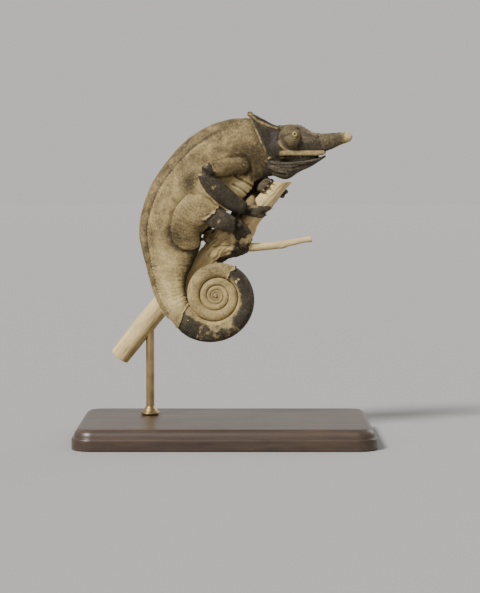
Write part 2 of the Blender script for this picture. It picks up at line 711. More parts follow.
def flat_line(points, line):
    """The distance, seen from the side, from each point to a line of x and z, and the place along it."""
    return near_line(points[:, (0, 2)], line)


def past_margin(points):
    """How far each point lies in front of the casque's hind margin."""
    return points[:, 0] - np.interp(-points[:, 2], -MARGIN_Z, MARGIN_X)


class Survey:
    """What each point of the skin belongs to, and which way its scales lie."""

    def __init__(self, skin, parts):
        self.points, self.normals = read_points(skin.data), read_normals(skin.data)
        names, lies, raw = [], [], []
        for name, rings in parts:
            lie = unit(np.gradient(rings.mean(1), axis=0))
            names += [name] * (rings.shape[0] * rings.shape[1])
            lies.append(np.repeat(lie, rings.shape[1], axis=0))
            raw.append(rings.reshape(-1, 3))
        raw, lies, names = np.concatenate(raw), np.concatenate(lies), np.array(names)
        tree = KDTree(len(raw))
        for i, place in enumerate(raw):
            tree.insert(place, i)
        tree.balance()
        nearest = np.array([tree.find(place)[1] for place in self.points])
        self.part, self.lie = names[nearest], lies[nearest]
        edges = np.empty(len(skin.data.edges) * 2, np.int32)
        skin.data.edges.foreach_get("vertices", edges)
        self.edges = edges.reshape(-1, 2)

    def of(self, *names):
        return np.isin(self.part, names)

    def spread(self, values, times):
        """Evens out values over the skin, edge by edge."""
        a, b = self.edges.T
        count = np.bincount(self.edges.ravel(), minlength=len(values)) + 1
        for _ in range(times):
            total = values + np.bincount(a, values[b], len(values)) + np.bincount(b, values[a], len(values))
            values = total / count
        return values

    def joins(self):
        """1 where limbs meet the trunk or bend, fading away from there."""
        group = self.part.copy()
        group[self.of("head", "cheek", "turret", "jaw", "tongue")] = "trunk"
        group[self.of("shank_right", "shank_left", "thigh_right", "thigh_left")] = "thigh"
        differs = (group[self.edges[:, 0]] != group[self.edges[:, 1]]).astype(float)
        mark = np.zeros(len(group))
        np.maximum.at(mark, self.edges[:, 0], differs)
        np.maximum.at(mark, self.edges[:, 1], differs)
        mark = self.spread(mark, 4)
        return np.clip(mark / np.quantile(mark[mark > 0.05], 0.8), 0, 1)


# --- Relief of the skin ---
def tail_root_rings(points, place):
    """The fine folds round the tail's root: 1 between them and 0 on them."""
    return (0.5 + 0.5 * np.cos(TURN * place / TAIL_FOLD_PITCH + 0.5 * noise(points, 3.0, 5))) ** 2


def trunk_relief(points):
    place, angle = TRUNK.locate(points)
    across = np.abs(angle)
    z = points[:, 2]
    keel = 0.55 * bump(across, 0.13) * soft(place, 8, 14)
    shoulder = 0.34 * bump(across - 0.74, 0.07) - 0.3 * bump(across - 0.62, 0.06)
    shoulder *= soft(place, 14, 24) * (1 - soft(place, 78, 92))
    flank = bump(across - 1.5, 0.7)
    ribs = 0.10 * np.cos(TURN * place / 4.4 + 1.5 * across) * flank
    ribs = ribs * soft(place, 20, 32) * (1 - soft(place, 70, 84))
    belly_side = soft(-np.cos(angle), -0.25, 0.25)
    tail_base = soft(z, 57, 61) * (1 - soft(z, 74, 79))
    rings = tail_root_rings(points, place)
    creased = noise(points * (0.55, 1.0, 2.0), 1.7, 9)
    rear = bump((points[:, 0] + 27.5) / 3.6, 1.0) * bump((z - 74.5) / 7.0, 1.0)
    for line in CHEST_FOLDS:
        distance, _ = flat_line(points, line)
        shoulder += 0.45 * bump(distance - 0.75, 0.55) - 0.6 * bump(distance, 0.45)
    folds = 0.42 * rings * belly_side * tail_base
    return keel + shoulder + ribs - folds - 0.3 * soft(creased, 0.15, 0.6) * rear


def head_relief(points, normals):
    sideways = soft(np.abs(normals[:, 1]), 0.15, 0.5)
    x, z = points[:, 0], points[:, 2]
    front = past_margin(points)
    high = soft(z, 119.5, 123.0)
    out = (0.75 * bump(front - 0.75, 0.7) - 0.75 * bump(front + 0.55, 0.6)) * high * sideways
    out -= 0.55 * bump(np.hypot((x - 20.0) / 2.6, (z - 129.5) / 4.0), 1.0) * sideways
    out += 0.5 * bump(points[:, 1], 0.5) * soft(z, 134.0, 136.0) * (1 - soft(x, 22, 26))
    for line, height, reach, beads in ((CASQUE_CREST, 0.8, 0.55, 1.7), (BROW_CREST, 0.62, 0.6, 1.5)):
        distance, place = flat_line(points, line)
        beaded = 0.8 + 0.2 * np.cos(TURN * place / beads)
        out += height * beaded * bump(distance, reach) * soft(normals[:, 2], -0.5, 0.0)
        out -= 0.3 * bump(distance - 1.25, 0.45) * sideways
    distance, _ = flat_line(points, CHEEK_FOLD)
    out += 0.45 * bump(distance, 0.55) * sideways
    lips = soft(x, MOUTH_CORNER - 0.8, MOUTH_CORNER + 0.8) * sideways
    out += lips * (0.34 * bump(z - LIP[0] - 0.9, 0.85) - 0.42 * bump(z - LIP[1] - 0.4, 0.4))
    out -= 0.6 * bump(np.hypot(x - 38.6, z - 128.6), 0.42) * sideways
    return out


def jaw_relief(points, normals):
    sideways = soft(np.abs(normals[:, 1]), 0.15, 0.5)
    top = np.interp(points[:, 0], [row[0] for row in JAW], [row[1] for row in JAW])
    out = sideways * (0.2 * bump(points[:, 2] - top + 0.8, 0.6) - 0.28 * bump(points[:, 2] - top + 1.9, 0.35))
    for depth, line in THROAT_FOLDS:
        distance, _ = flat_line(points, line)
        out += depth * (0.7 * bump(distance - 0.7, 0.45) - bump(distance, 0.4))
    return out


def turret_relief(points):
    out = np.zeros(len(points))
    for sign in (-1, 1):
        centre, _ = eye_place(sign)
        share = np.linalg.norm((points - centre) / EYE_TURRET_RADII, axis=1)
        near = bump(share - 1.0, 0.35)
        ring = socket_share(points[:, 0], points[:, 2])
        facing = near * (points[:, 1] * sign > 1.0)
        out -= 0.5 * bump(ring - 1.02, 0.07) * facing
        low = soft(EYE[2] - points[:, 2], -1.0, 2.0)
        out -= (0.22 * bump(ring - 0.8, 0.05) * low + 0.12 * bump(ring - 0.6, 0.05)) * facing
    return out


def limb_relief(name, points):
    """Fine curved furrows on the thighs, and folds where a limb bends."""
    tube = LIMB_TUBES[name]
    place, angle = tube.locate(points)
    if name.startswith("thigh"):
        fan = place + 1.1 * np.sin(angle * 0.5) * 3.0 + 0.5 * noise(points, 3.5, 3)
        furrows = 0.5 + 0.5 * np.cos(TURN * fan / 1.55)
        return -0.17 * furrows**2 * soft(place, 1.0, 4.0)
    near_end = np.minimum(place, tube.length - place)
    folds = (0.5 + 0.5 * np.cos(TURN * near_end / 1.4)) * bump(near_end, 2.6)
    return -0.2 * folds * soft(-np.cos(angle), -0.4, 0.6)


def skin_relief(survey):
    """How far each point of the skin moves outwards, in millimetres."""
    points, normals = survey.points, survey.normals
    out = 0.13 * noise(points, 5.0, 1) + 0.06 * noise(points, 2.2, 2)
    out -= 0.95 * survey.joins()
    trunk, jaw = survey.of("trunk"), survey.of("jaw")
    out[trunk] += trunk_relief(points[trunk])
    near_head = points[:, 0] > 8.0
    near_head &= ~survey.of(*LIMBS, *GRIPS)
    out[near_head & ~jaw] += head_relief(points[near_head & ~jaw], normals[near_head & ~jaw])
    out[jaw] += jaw_relief(points[jaw], normals[jaw])
    out[near_head] += turret_relief(points[near_head])
    for name in LIMBS:
        part = survey.of(name)
        out[part] += limb_relief(name, points[part])
    return survey.spread(out, 1)


def eyelid_cap(sign, rows=34, sides=72):
    """The eye's scaly lid: a fine cap with a rimmed hole for the pupil and rings of wrinkles."""
    centre, gaze, level, upright = eye_axes(sign)
    angle = turns(sides)[None, :]
    reach = np.concatenate([[0.27, 0.33, 0.39], np.linspace(0.45, 4.3, rows - 3)])[:, None]
    wrinkles = 0.13 * np.cos(TURN * reach / EYE_WRINKLES) * soft(reach, 1.5, 2.2)
    height = 0.4 * pupil_rim(reach) + wrinkles - 0.8 * (1 - soft(reach, 0.24, 0.52))
    height = height - 0.75 * soft(reach, 3.6, 4.3)
    crease = crease_share(-reach * np.cos(angle), -reach * np.sin(angle))
    turned = reach / EYE_RADIUS
    direction = gaze * np.cos(turned)[..., None] + np.sin(turned)[..., None] * (
        level * np.cos(angle)[..., None] + upright * np.sin(angle)[..., None])
    radius = 1 / np.linalg.norm(direction / EYE_TURRET_RADII, axis=-1)
    return centre + direction * (radius - 0.12 + height - 0.4 * crease)[..., None]


def build_skin():
    parts = flesh_parts()
    skin = fused_skin(parts)
    survey = Survey(skin, parts)
    write_points(skin.data, survey.points + survey.normals * skin_relief(survey)[:, None])
    return skin, survey


# --- Old and fresh skin ---
# Patches of darker (below 0) or paler skin on the near and far flank: x, z, reach in x and z, amount.
PATCHES = (
    (-15.4, 112.2, 4.4, 5.2, -1.15), (15.6, 117.8, 4.8, 8.6, -0.85), (9.4, 117.2, 5.0, 4.2, -0.5),
    (11.2, 125.0, 5.6, 5.4, -0.85), (4.6, 116.6, 4.6, 3.4, -0.3), (-21.0, 88.0, 3.2, 6.0, -0.55),
    (-9.0, 120.5, 6.0, 3.0, -0.3), (-17.0, 87.4, 5.4, 5.6, -0.35), (-14.0, 66.0, 12.0, 14.0, 0.5),
    (-24.5, 66.0, 6.0, 16.0, 0.5), (-19.0, 106.0, 6.0, 9.0, 0.35), (-9.5, 110.0, 3.0, 5.6, 0.9),
    (7.4, 108.6, 4.6, 4.0, 2.0), (-21.0, 61.0, 5.0, 6.0, 0.5), (3.4, 126.6, 4.6, 4.0, -0.45),
    (-24.0, 78.0, 4.4, 4.6, 0.45), (7.6, 133.0, 4.0, 3.0, 0.45), (-14.6, 92.0, 3.2, 6.0, 0.3),
)
# Beads of bright old skin left on the fresh: x, z, reach, on the near side.
BRIGHT_BEADS = (
    (-4.6, 109.2, 0.8), (-2.6, 94.8, 0.5), (-7.6, 118.2, 0.9), (16.8, 125.0, 0.45), (17.7, 123.1, 0.5),
    (19.2, 121.7, 0.7), (21.4, 121.2, 0.6), (20.3, 132.6, 0.35), (5.6, 68.7, 1.3), (-15.4, 52.8, 0.7),
)
TAIL_FRESH = ((-2.9, -2.02, 1.0), (-2.02, -1.0, 0.55), (-1.0, 1.04, 1.0))  # angles in the coil, amount
# The torn end of the old skin on the tail root: place from the start of the coil, and angle round.
CUFF = ((0.6, -3.2), (1.2, -2.4), (3.4, -1.5), (5.2, -0.7), (4.2, 0.2), (2.2, 1.2), (1.0, 2.2), (0.6, 3.2))
# How far each hand and foot has shed its old skin.
GRIP_FRESH = (("hand_right", 0.85), ("hand_left", 0.75), ("foot_right", 0.9), ("foot_left", 0.15))
# Where the fresh skin starts on the limbs: place along, and how much sooner on the lower side.
FRESH_LIMBS = (
    ("upper_arm_right", 15.2, 0.6), ("forearm_right", -1.0, 0.0), ("forearm_left", 1.0, 0.0),
    ("shank_right", 7.0, 1.6), ("shank_left", 5.0, 1.0),
)


def ragged(value, points, reach, seed):
    """A step at 0 whose edge wanders by about the given reach."""
    wander = 0.7 * noise(points, 2.4, seed) + 0.3 * noise(points, 0.9, seed + 1)
    return soft(value + reach * wander, -0.12, 0.12)


def in_mouth(survey, start, heights, level, widths):
    """The palate and the floor of the mouth: points between the lips that face up or down."""
    x, y, z = survey.points.T
    inside = (x > start) & (z > heights[0]) & (z < heights[1]) & (np.abs(survey.normals[:, 2]) > level)
    return inside & (np.abs(y) < np.interp(x, MOUTH_STATIONS, widths))


def bright_beads(points):
    picked = np.zeros(len(points))
    grain = noise(points, 0.8, 41)
    for x, z, reach in BRIGHT_BEADS:
        near = np.hypot(points[:, 0] - x, points[:, 2] - z) < reach
        picked[near & (grain > 0.12) & (points[:, 1] < 2.0)] = 1.0
    return picked


def skin_marks(survey):
    """(fresh, tone) of the skin: 0 is pale old skin and 1 dark fresh skin; tone shifts it paler or darker."""
    points = survey.points
    x, y, z = points.T
    fresh, tone = np.zeros(len(x)), np.zeros(len(x))
    head = ragged(past_margin(points), points, 0.5, 11) * ~survey.of(*LIMBS, *GRIPS) * (z > 112.0)
    fresh = np.maximum(fresh, head)

    # hands, feet and limbs
    mixed = 0.55 + 0.45 * noise(points, 1.8, 48)
    for name, amount in GRIP_FRESH:
        part = survey.of(name)
        fresh[part] = np.clip(amount + (1 - amount) * mixed[part] * (amount > 0.6), 0, 1)
    inner = survey.of("hand_right") & (x < 14.5) & (z > 100.5) & (x + z < 117.5)
    fresh[inner] *= 0.35
    for name, start, slant in FRESH_LIMBS:
        place, angle = LIMB_TUBES[name].locate(points)
        part = survey.of(name)
        fresh[part] = ragged(place - start + slant * np.cos(angle), points, 1.2, 13)[part]

    # the trunk: back, flank, tail root and belly's rim
    place, angle = TRUNK.locate(points)
    trunk = survey.of("trunk")
    back = trunk * (1 - soft(np.abs(angle), 0.55, 1.0))
    tone -= 0.5 * back
    tone -= 0.5 * bump(np.abs(angle) - 0.62, 0.05) * soft(place, 14, 24) * trunk
    tone += 0.4 * bump(np.abs(angle) - 0.76, 0.06) * soft(place, 14, 24) * trunk
    stripes = tail_root_rings(points, place)
    belly_side = soft(-np.cos(angle), -0.25, 0.25) * soft(z, 57, 61) * (1 - soft(z, 74, 79))
    tone -= 0.55 * stripes * belly_side * trunk
    rim = bump(math.pi - np.abs(angle), 0.62) * soft(z, 57.0, 60.0) * (1 - soft(z, 88.0, 91.0))
    tone -= 2.8 * rim * trunk
    tone += 0.4 * noise(points, 2.4, 47) * trunk * soft(np.cos(angle), -0.6, 0.4)
    tone[survey.of("upper_arm_right", "upper_arm_left")] -= 0.2
    tone[survey.of("shank_right", "shank_left") & (fresh > 0.5)] += 0.4
    for name in ("thigh_right", "thigh_left"):
        part = survey.of(name)
        tone[part] += 2.2 * limb_relief(name, points[part])
    for patch_x, patch_z, wide, tall, amount in PATCHES:
        tone += amount * bump(np.hypot((x - patch_x) / wide, (z - patch_z) / tall), 1.0) * (fresh < 0.5)
    tone -= 0.9 * survey.joins() ** 2

    # the head: lip, crests, eye socket and snout
    head_skin = survey.of("head", "cheek", "turret", "trunk") & (fresh > 0.5)
    lip = soft(x, 22.8, 24.2) * (1 - soft(z, LIP[1] - 0.2, LIP[1] + 0.4))
    lip = lip * soft(np.abs(y), 1.2, 2.2) * (z > 121.6)
    crest, _ = flat_line(points, CASQUE_CREST)
    brow, _ = flat_line(points, BROW_CREST)
    fold, _ = flat_line(points, CHEEK_FOLD)
    upper = survey.normals[:, 2] > -0.3
    patchy = 0.6 + 0.5 * noise(points, 1.6, 43)
    crests = 0.8 * bump(crest, 0.7) * upper * patchy, 0.45 * bump(brow, 0.6) * upper * patchy
    pale = np.maximum.reduce([0.9 * lip, *crests, 0.7 * bump(fold, 0.5)])
    fresh[head_skin] *= 1 - np.clip(pale[head_skin], 0, 1)
    ring = socket_share(x, z)
    socket = (1 - soft(ring, 0.9, 1.05)) * (np.abs(y) > 3.0) * (x > 20)
    fresh = np.where(socket > 0, fresh * (1 - 0.38 * socket), fresh)
    tone += 0.5 * bump(ring - 1.08, 0.08) * soft(EYE[2] - z, 1.0, 3.0) * soft(np.abs(y), 2.5, 3.5) * (x > 20)
    tone -= 0.5 * bump(np.hypot((x - 19.2) / 4.2, (z - 129.0) / 6.5), 1.0) * (fresh > 0.5)
    for line in CHEST_FOLDS:
        distance, _ = flat_line(points, line)
        tone += trunk * (0.6 * bump(distance - 0.9, 0.5) - 1.7 * bump(distance, 0.45))
    snout = soft(x, 31.0, 34.0) * (fresh > 0.5) * (z > 121.0)
    tone += snout * 0.75 * soft(z, 127.6, 129.2) + 0.35 * lip
    crease = np.hypot(x - EYE[0] + 1.2, (z - EYE[2] - 0.9 - 0.25 * (x - EYE[0])) * 5)
    tone -= 0.9 * bump(crease, 2.6) * (np.abs(y) > 5.0)

    # the jaw, its folds and the mouth
    jaw = survey.of("jaw")
    streaks = noise(points * (0.35, 1.0, 1.6), 1.5, 45)
    tone += jaw * (0.15 + 0.35 * np.maximum(streaks, 0))
    for _, line in THROAT_FOLDS:
        distance, _ = flat_line(points, line)
        tone += 0.5 * bump(distance - 0.75, 0.4) * jaw
    mouth = in_mouth(survey, 23.6, (119.6, 122.9), 0.6, (4.3, 3.3, 1.2))
    tone[mouth] -= 1.3
    fresh[mouth] = 1.0
    left_behind = bright_beads(points)
    fresh *= 1 - left_behind
    tone += 0.8 * left_behind
    return fresh, tone


def tail_marks(points):
    """(fresh, tone) along the coil: a dark band on its outer turn, and pale turns inside."""
    place, angle = TAIL.locate(points)
    x, z = TAIL_COIL_CENTRE
    round_coil = np.arctan2(points[:, 2] - z, points[:, 0] - x)
    outer = place < TAIL_START + 0.95 * TURN * TAIL_COIL_RADIUS * 0.86
    fresh = np.zeros(len(points))
    for low, high, amount in TAIL_FRESH:
        inside = ragged((round_coil - low) * TAIL_COIL_RADIUS, points, 1.2, 23)
        inside *= ragged((high - round_coil) * TAIL_COIL_RADIUS, points, 1.0, 25)
        fresh = np.maximum(fresh, inside * amount * outer)
    reach = TAIL.sample(TAIL.depths, place)
    outwards = np.hypot(points[:, 0] - x, points[:, 2] - z) - TAIL.sample(COIL_REACH, place)
    outwards = np.clip(outwards / reach, -1, 1)
    blotches = 0.6 * noise(points, 1.5, 27) + 0.4 * noise(points, 0.7, 28) + 0.55 * outwards - 0.05
    mottled = (fresh > 0.4) & (fresh < 0.7)
    fresh = np.where(mottled, 0.95 * soft(blotches, -0.32, 0.05), fresh)
    fresh *= np.where(mottled, 1.0, soft(outwards + 0.2 * noise(points, 1.2, 29), -0.8, -0.45))
    cuff = np.interp(angle, [turned for _, turned in CUFF], [spot for spot, _ in CUFF])
    fresh *= ragged(place - TAIL_START - cuff - 0.4, points, 0.3, 31)
    tone = 0.35 * soft(TAIL_START + 4.0 - place, 0, 4) + 0.3 * soft(place - TAIL_START, 60.0, 80.0)
    tone += 0.5 * mottled * noise(points, 1.0, 33) - 0.3 * bump(outwards + 1.0, 0.25)
    left_behind = bright_beads(points)
    return fresh * (1 - left_behind), tone + 1.2 * left_behind


# --- Regions of the coat ---
FRONT, MIDDLE, HIND, FORELEG, HIND_LEG, GRIP, FACE, CASQUE = range(8)
NO_SCALES = -1  # the region of the tail and the eyelids, whose scales stand in rows
TRUNK_PARTS = (36.0, 68.0)  # places along the trunk where its second and third piece of coat start
SCALE_SEED = 3
# Spacing of the scales on the body, the limbs, the hands and feet, the head, and the casque.
BODY_SPACING, LIMB_SPACING, GRIP_SPACING, HEAD_SPACING, PLATE_SPACING = 0.4, 0.38, 0.37, 0.345, 0.55
# The pieces of the coat in the order of their regions: name, spacing of the scales, and their
# height as a share of their breadth.
REGIONS = (
    ("front_scales", BODY_SPACING, 0.37), ("middle_scales", BODY_SPACING, 0.37),
    ("hind_scales", BODY_SPACING, 0.37), ("foreleg_scales", LIMB_SPACING, 0.37),
    ("hind_leg_scales", LIMB_SPACING, 0.37), ("hand_and_foot_scales", GRIP_SPACING, 0.42),
    ("head_scales", HEAD_SPACING, 0.37), ("casque_scales", PLATE_SPACING, 0.2),
)


def skin_regions(survey):
    """(region of each point, how thickly scales stand there)."""
    points = survey.points
    x, _, z = points.T
    place, _ = TRUNK.locate(points)
    region = np.array((FRONT, MIDDLE, HIND))[np.digitize(place, TRUNK_PARTS)]
    on_head = (past_margin(points) > 0) & ~survey.of(*LIMBS, *GRIPS) & (z > 112.5)
    region[on_head | survey.of("jaw")] = FACE
    casque = on_head & (np.abs(survey.normals[:, 1]) > 0.3) & (past_margin(points) > 0.9)
    crest, _ = flat_line(points, CASQUE_CREST)
    region[casque & (x < 24.5) & (z > 123.5) & (crest > 1.0)] = CASQUE
    region[survey.of(*(name for name in LIMBS if "arm" in name))] = FORELEG
    region[survey.of(*(name for name in LIMBS if "arm" not in name))] = HIND_LEG
    region[survey.of(*GRIPS)] = GRIP
    cover = np.ones(len(x))
    for sign in (-1, 1):
        centre, gaze = eye_place(sign)
        cover[np.linalg.norm(points - centre - gaze * 4.6, axis=1) < 4.1] = 0.0
    cover[in_mouth(survey, 24.2, (119.4, 123.0), 0.5, (4.4, 3.5, 1.4))] = 0.0
    cover[place > TRUNK.length - 0.5] = 0.0
    return region, cover


# --- Nodes ---
VECTOR = "FLOAT_VECTOR"


def add_node(tree, kind, inputs=None, **settings):
    """A node with its settings, and its inputs linked to sockets or set to values."""
    node = tree.nodes.new(kind)
    for key, value in settings.items():
        setattr(node, key, value)
    for key, value in (inputs or {}).items():
        if isinstance(value, bpy.types.Node):
            value = next(socket for socket in value.outputs if socket.enabled)
        if isinstance(value, bpy.types.NodeSocket):
            tree.links.new(value, node.inputs[key])
        else:
            node.inputs[key].default_value = value
    return node


def calc(tree, operation, *values):
    return add_node(tree, "ShaderNodeMath", dict(enumerate(values)), operation=operation).outputs[0]


def vector_calc(tree, operation, *values):
    node = add_node(tree, "ShaderNodeVectorMath", dict(enumerate(values)), operation=operation)
    return node.outputs["Value" if operation == "LENGTH" else "Vector"]


def new_tree(name, kind, inputs, outputs):
    """A node group with (name, type, default) sockets. Returns the tree, its inputs and its output node."""
    tree = bpy.data.node_groups.new(name, kind)
    for way, rows in (("INPUT", inputs), ("OUTPUT", outputs)):
        for label, socket_type, default in rows:
            socket = tree.interface.new_socket(label, in_out=way, socket_type="NodeSocket" + socket_type)
            if default is not None:
                socket.default_value = default
    return tree, tree.nodes.new("NodeGroupInput").outputs, tree.nodes.new("NodeGroupOutput")


def named(tree, name, kind="FLOAT"):
    node = add_node(tree, "GeometryNodeInputNamedAttribute", {"Name": name}, data_type=kind)
    return node.outputs["Attribute"]


def store(tree, geometry, name, value, kind="FLOAT", domain="POINT"):
    inputs = {"Geometry": geometry, "Name": name, "Value": value}
    return add_node(tree, "GeometryNodeStoreNamedAttribute", inputs, data_type=kind, domain=domain)


def random_value(tree, low, high, seed):
    limits = {"Min": low, "Max": high, "Seed": seed}
    return add_node(tree, "FunctionNodeRandomValue", limits, data_type="FLOAT").outputs[1]


def with_map(tree, shape):
    return store(tree, shape, "UVMap", shape.outputs["UV Map"], VECTOR, "CORNER")


def scales_on_points(tree, given, result, points, shape, outward, size):
    """Puts the shape on each point, gives each copy its own patch of the bake map, and sets the finish."""
    facing = add_node(tree, "FunctionNodeAxesToRotation", {
        "Primary Axis": outward, "Secondary Axis": named(tree, "lie", VECTOR),
    }, primary_axis="Z", secondary_axis="X")
    placed = add_node(tree, "GeometryNodeInstanceOnPoints",
                      {"Points": points, "Instance": shape, "Rotation": facing, "Scale": size})
    real = add_node(tree, "GeometryNodeRealizeInstances", {"Geometry": placed})
    local = vector_calc(tree, "SUBTRACT", named(tree, "UVMap", VECTOR), (0.5, 0.5, 0.0))
    local = add_node(tree, "ShaderNodeVectorMath", {0: local, "Scale": given["Patch"]}, operation="SCALE")
    place = vector_calc(tree, "ADD", named(tree, "root_uv", VECTOR), local)
    mapped = store(tree, real, "OFBake", place, "FLOAT2", "CORNER")
    smooth = add_node(tree, "GeometryNodeSetShadeSmooth", {"Geometry": mapped})
    scales = add_node(tree, "GeometryNodeSetMaterial", {"Geometry": smooth, "Material": given["Finish"]})
    tree.links.new(scales.outputs[0], result.inputs["Scales"])


GRANULE_INPUTS = (
    ("Skin", "Geometry", None), ("Region", "Int", 0), ("First region", "Int", 0),
    ("Last region", "Int", 0), ("Spacing", "Float", 0.0007), ("Breadth", "Float", 1.3),
    ("Height", "Float", 0.42), ("Seed", "Int", 1), ("Patch", "Float", 0.003),
    ("Finish", "Material", None),
)
SCALES_OUTPUT = (("Scales", "Geometry", None),)


def granule_tree():
    """Rounded scales packed over one region of the skin, without two standing on one another."""
    tree, given, result = new_tree("packed_scales", "GeometryNodeTree", GRANULE_INPUTS, SCALES_OUTPUT)
    region = named(tree, "region", "INT")
    low = calc(tree, "SUBTRACT", region, given["First region"])
    high = calc(tree, "SUBTRACT", given["Last region"], region)
    inside = calc(tree, "GREATER_THAN", calc(tree, "MINIMUM", low, high), -0.5)
    density = calc(tree, "DIVIDE", 1.0, calc(tree, "MULTIPLY", given["Spacing"], given["Spacing"]))
    spread = add_node(tree, "GeometryNodeDistributePointsOnFaces", {
        "Mesh": given["Skin"], "Distance Min": given["Spacing"],
        "Density Max": calc(tree, "MULTIPLY", density, 4.0),
        "Density Factor": calc(tree, "MULTIPLY", inside, named(tree, "cover")), "Seed": given["Seed"],
    }, distribute_method="POISSON")
    points = store(tree, spread.outputs["Points"], "root", add_node(tree, "GeometryNodeInputPosition"),
                   VECTOR)
    points = store(tree, points, "root_uv", named(tree, "OFBake", VECTOR), VECTOR)
    other = calc(tree, "ABSOLUTE", calc(tree, "SUBTRACT", named(tree, "region", "INT"), given["Region"]))
    kept = add_node(tree, "GeometryNodeDeleteGeometry",
                    {"Geometry": points, "Selection": calc(tree, "GREATER_THAN", other, 0.5)}, domain="POINT")
    grain = calc(tree, "MULTIPLY", named(tree, "grain"), random_value(tree, 0.86, 1.1, given["Seed"]))
    breadth = calc(tree, "MULTIPLY", calc(tree, "MULTIPLY", given["Spacing"], given["Breadth"]), grain)
    size = add_node(tree, "ShaderNodeCombineXYZ", {
        0: calc(tree, "MULTIPLY", breadth, 1.06), 1: calc(tree, "MULTIPLY", breadth, 0.97),
        2: calc(tree, "MULTIPLY", breadth, given["Height"])})
    shape = add_node(tree, "GeometryNodeMeshUVSphere", {"Segments": 6, "Rings": 3, "Radius": 0.5})
    outward = spread.outputs["Normal"]
    scales_on_points(tree, given, result, kept, with_map(tree, shape), outward, size)
    return tree


ROW_INPUTS = (
    ("Roots", "Geometry", None), ("Skin", "Object", None), ("Pointed", "Bool", False),
    ("Sides", "Int", 6), ("Patch", "Float", 0.003), ("Finish", "Material", None),
)


def row_tree():
    """Scales or spines on ready-made roots, each with its own size and lie."""
    tree, given, result = new_tree("scale_rows", "GeometryNodeTree", ROW_INPUTS, SCALES_OUTPUT)
    position = add_node(tree, "GeometryNodeInputPosition")
    skin = add_node(tree, "GeometryNodeObjectInfo", {"Object": given["Skin"]}, transform_space="ORIGINAL")
    under = add_node(tree, "GeometryNodeSampleNearestSurface", {
        "Mesh": skin.outputs["Geometry"], "Value": named(tree, "OFBake", VECTOR),
        "Sample Position": position}, data_type=VECTOR)
    points = store(tree, given["Roots"], "root_uv", under.outputs["Value"], VECTOR)
    points = store(tree, points, "root", position, VECTOR)
    dome = add_node(tree, "GeometryNodeMeshUVSphere", {"Segments": given["Sides"], "Rings": 3, "Radius": 0.5})
    spine = add_node(tree, "GeometryNodeMeshCone", {
        "Vertices": given["Sides"], "Side Segments": 2, "Radius Top": 0.06, "Radius Bottom": 0.5,
        "Depth": 1.0})
    shape = add_node(tree, "GeometryNodeSwitch", {
        "Switch": given["Pointed"], "False": with_map(tree, dome), "True": with_map(tree, spine),
    }, input_type="GEOMETRY")
    outward, size = named(tree, "outward", VECTOR), named(tree, "size", VECTOR)
    scales_on_points(tree, given, result, points, shape, outward, size)
    return tree


def grow(obj, tree, values):
    """Runs a tree on the object, with inputs set by name, and keeps the plain mesh."""
    grown = obj.modifiers.new("grow", "NODES")
    grown.node_group = tree
    for item in tree.interface.items_tree:
        if item.name in values:
            grown[item.identifier] = values[item.name]
    obj.update_tag()
    apply_modifiers(obj)


# --- Finishes ---
OLD_SKIN = ((0.0, (0.05, 0.036, 0.017)), (0.3, (0.16, 0.115, 0.054)), (0.52, (0.33, 0.248, 0.112)),
            (0.75, (0.48, 0.368, 0.166)), (1.0, (0.74, 0.605, 0.32)))
FRESH_SKIN = ((0.0, (0.009, 0.007, 0.0045)), (0.4, (0.037, 0.029, 0.0185)), (0.6, (0.072, 0.056, 0.036)),
              (1.0, (0.24, 0.186, 0.12)))


def ramp(tree, share, stops):
    node = add_node(tree, "ShaderNodeValToRGB", {"Fac": share})
    elements = node.color_ramp.elements
    while len(elements) < len(stops):
        elements.new(0.5)
    for element, (place, colour) in zip(elements, stops):
        element.position = place
        element.color = (*colour, 1.0)
    return node.outputs["Color"]


def noise_map(tree, place, size, detail=2.0, rough=0.5):
    """Noise from 0 to 1 with features of that size in millimetres."""
    return add_node(tree, "ShaderNodeTexNoise", {
        "Vector": place, "Scale": 1 / (size * MM), "Detail": detail, "Roughness": rough}).outputs["Fac"]


def mix_colour(tree, share, first, second):
    return add_node(tree, "ShaderNodeMix", {0: share, 6: first, 7: second}, data_type="RGBA").outputs[2]


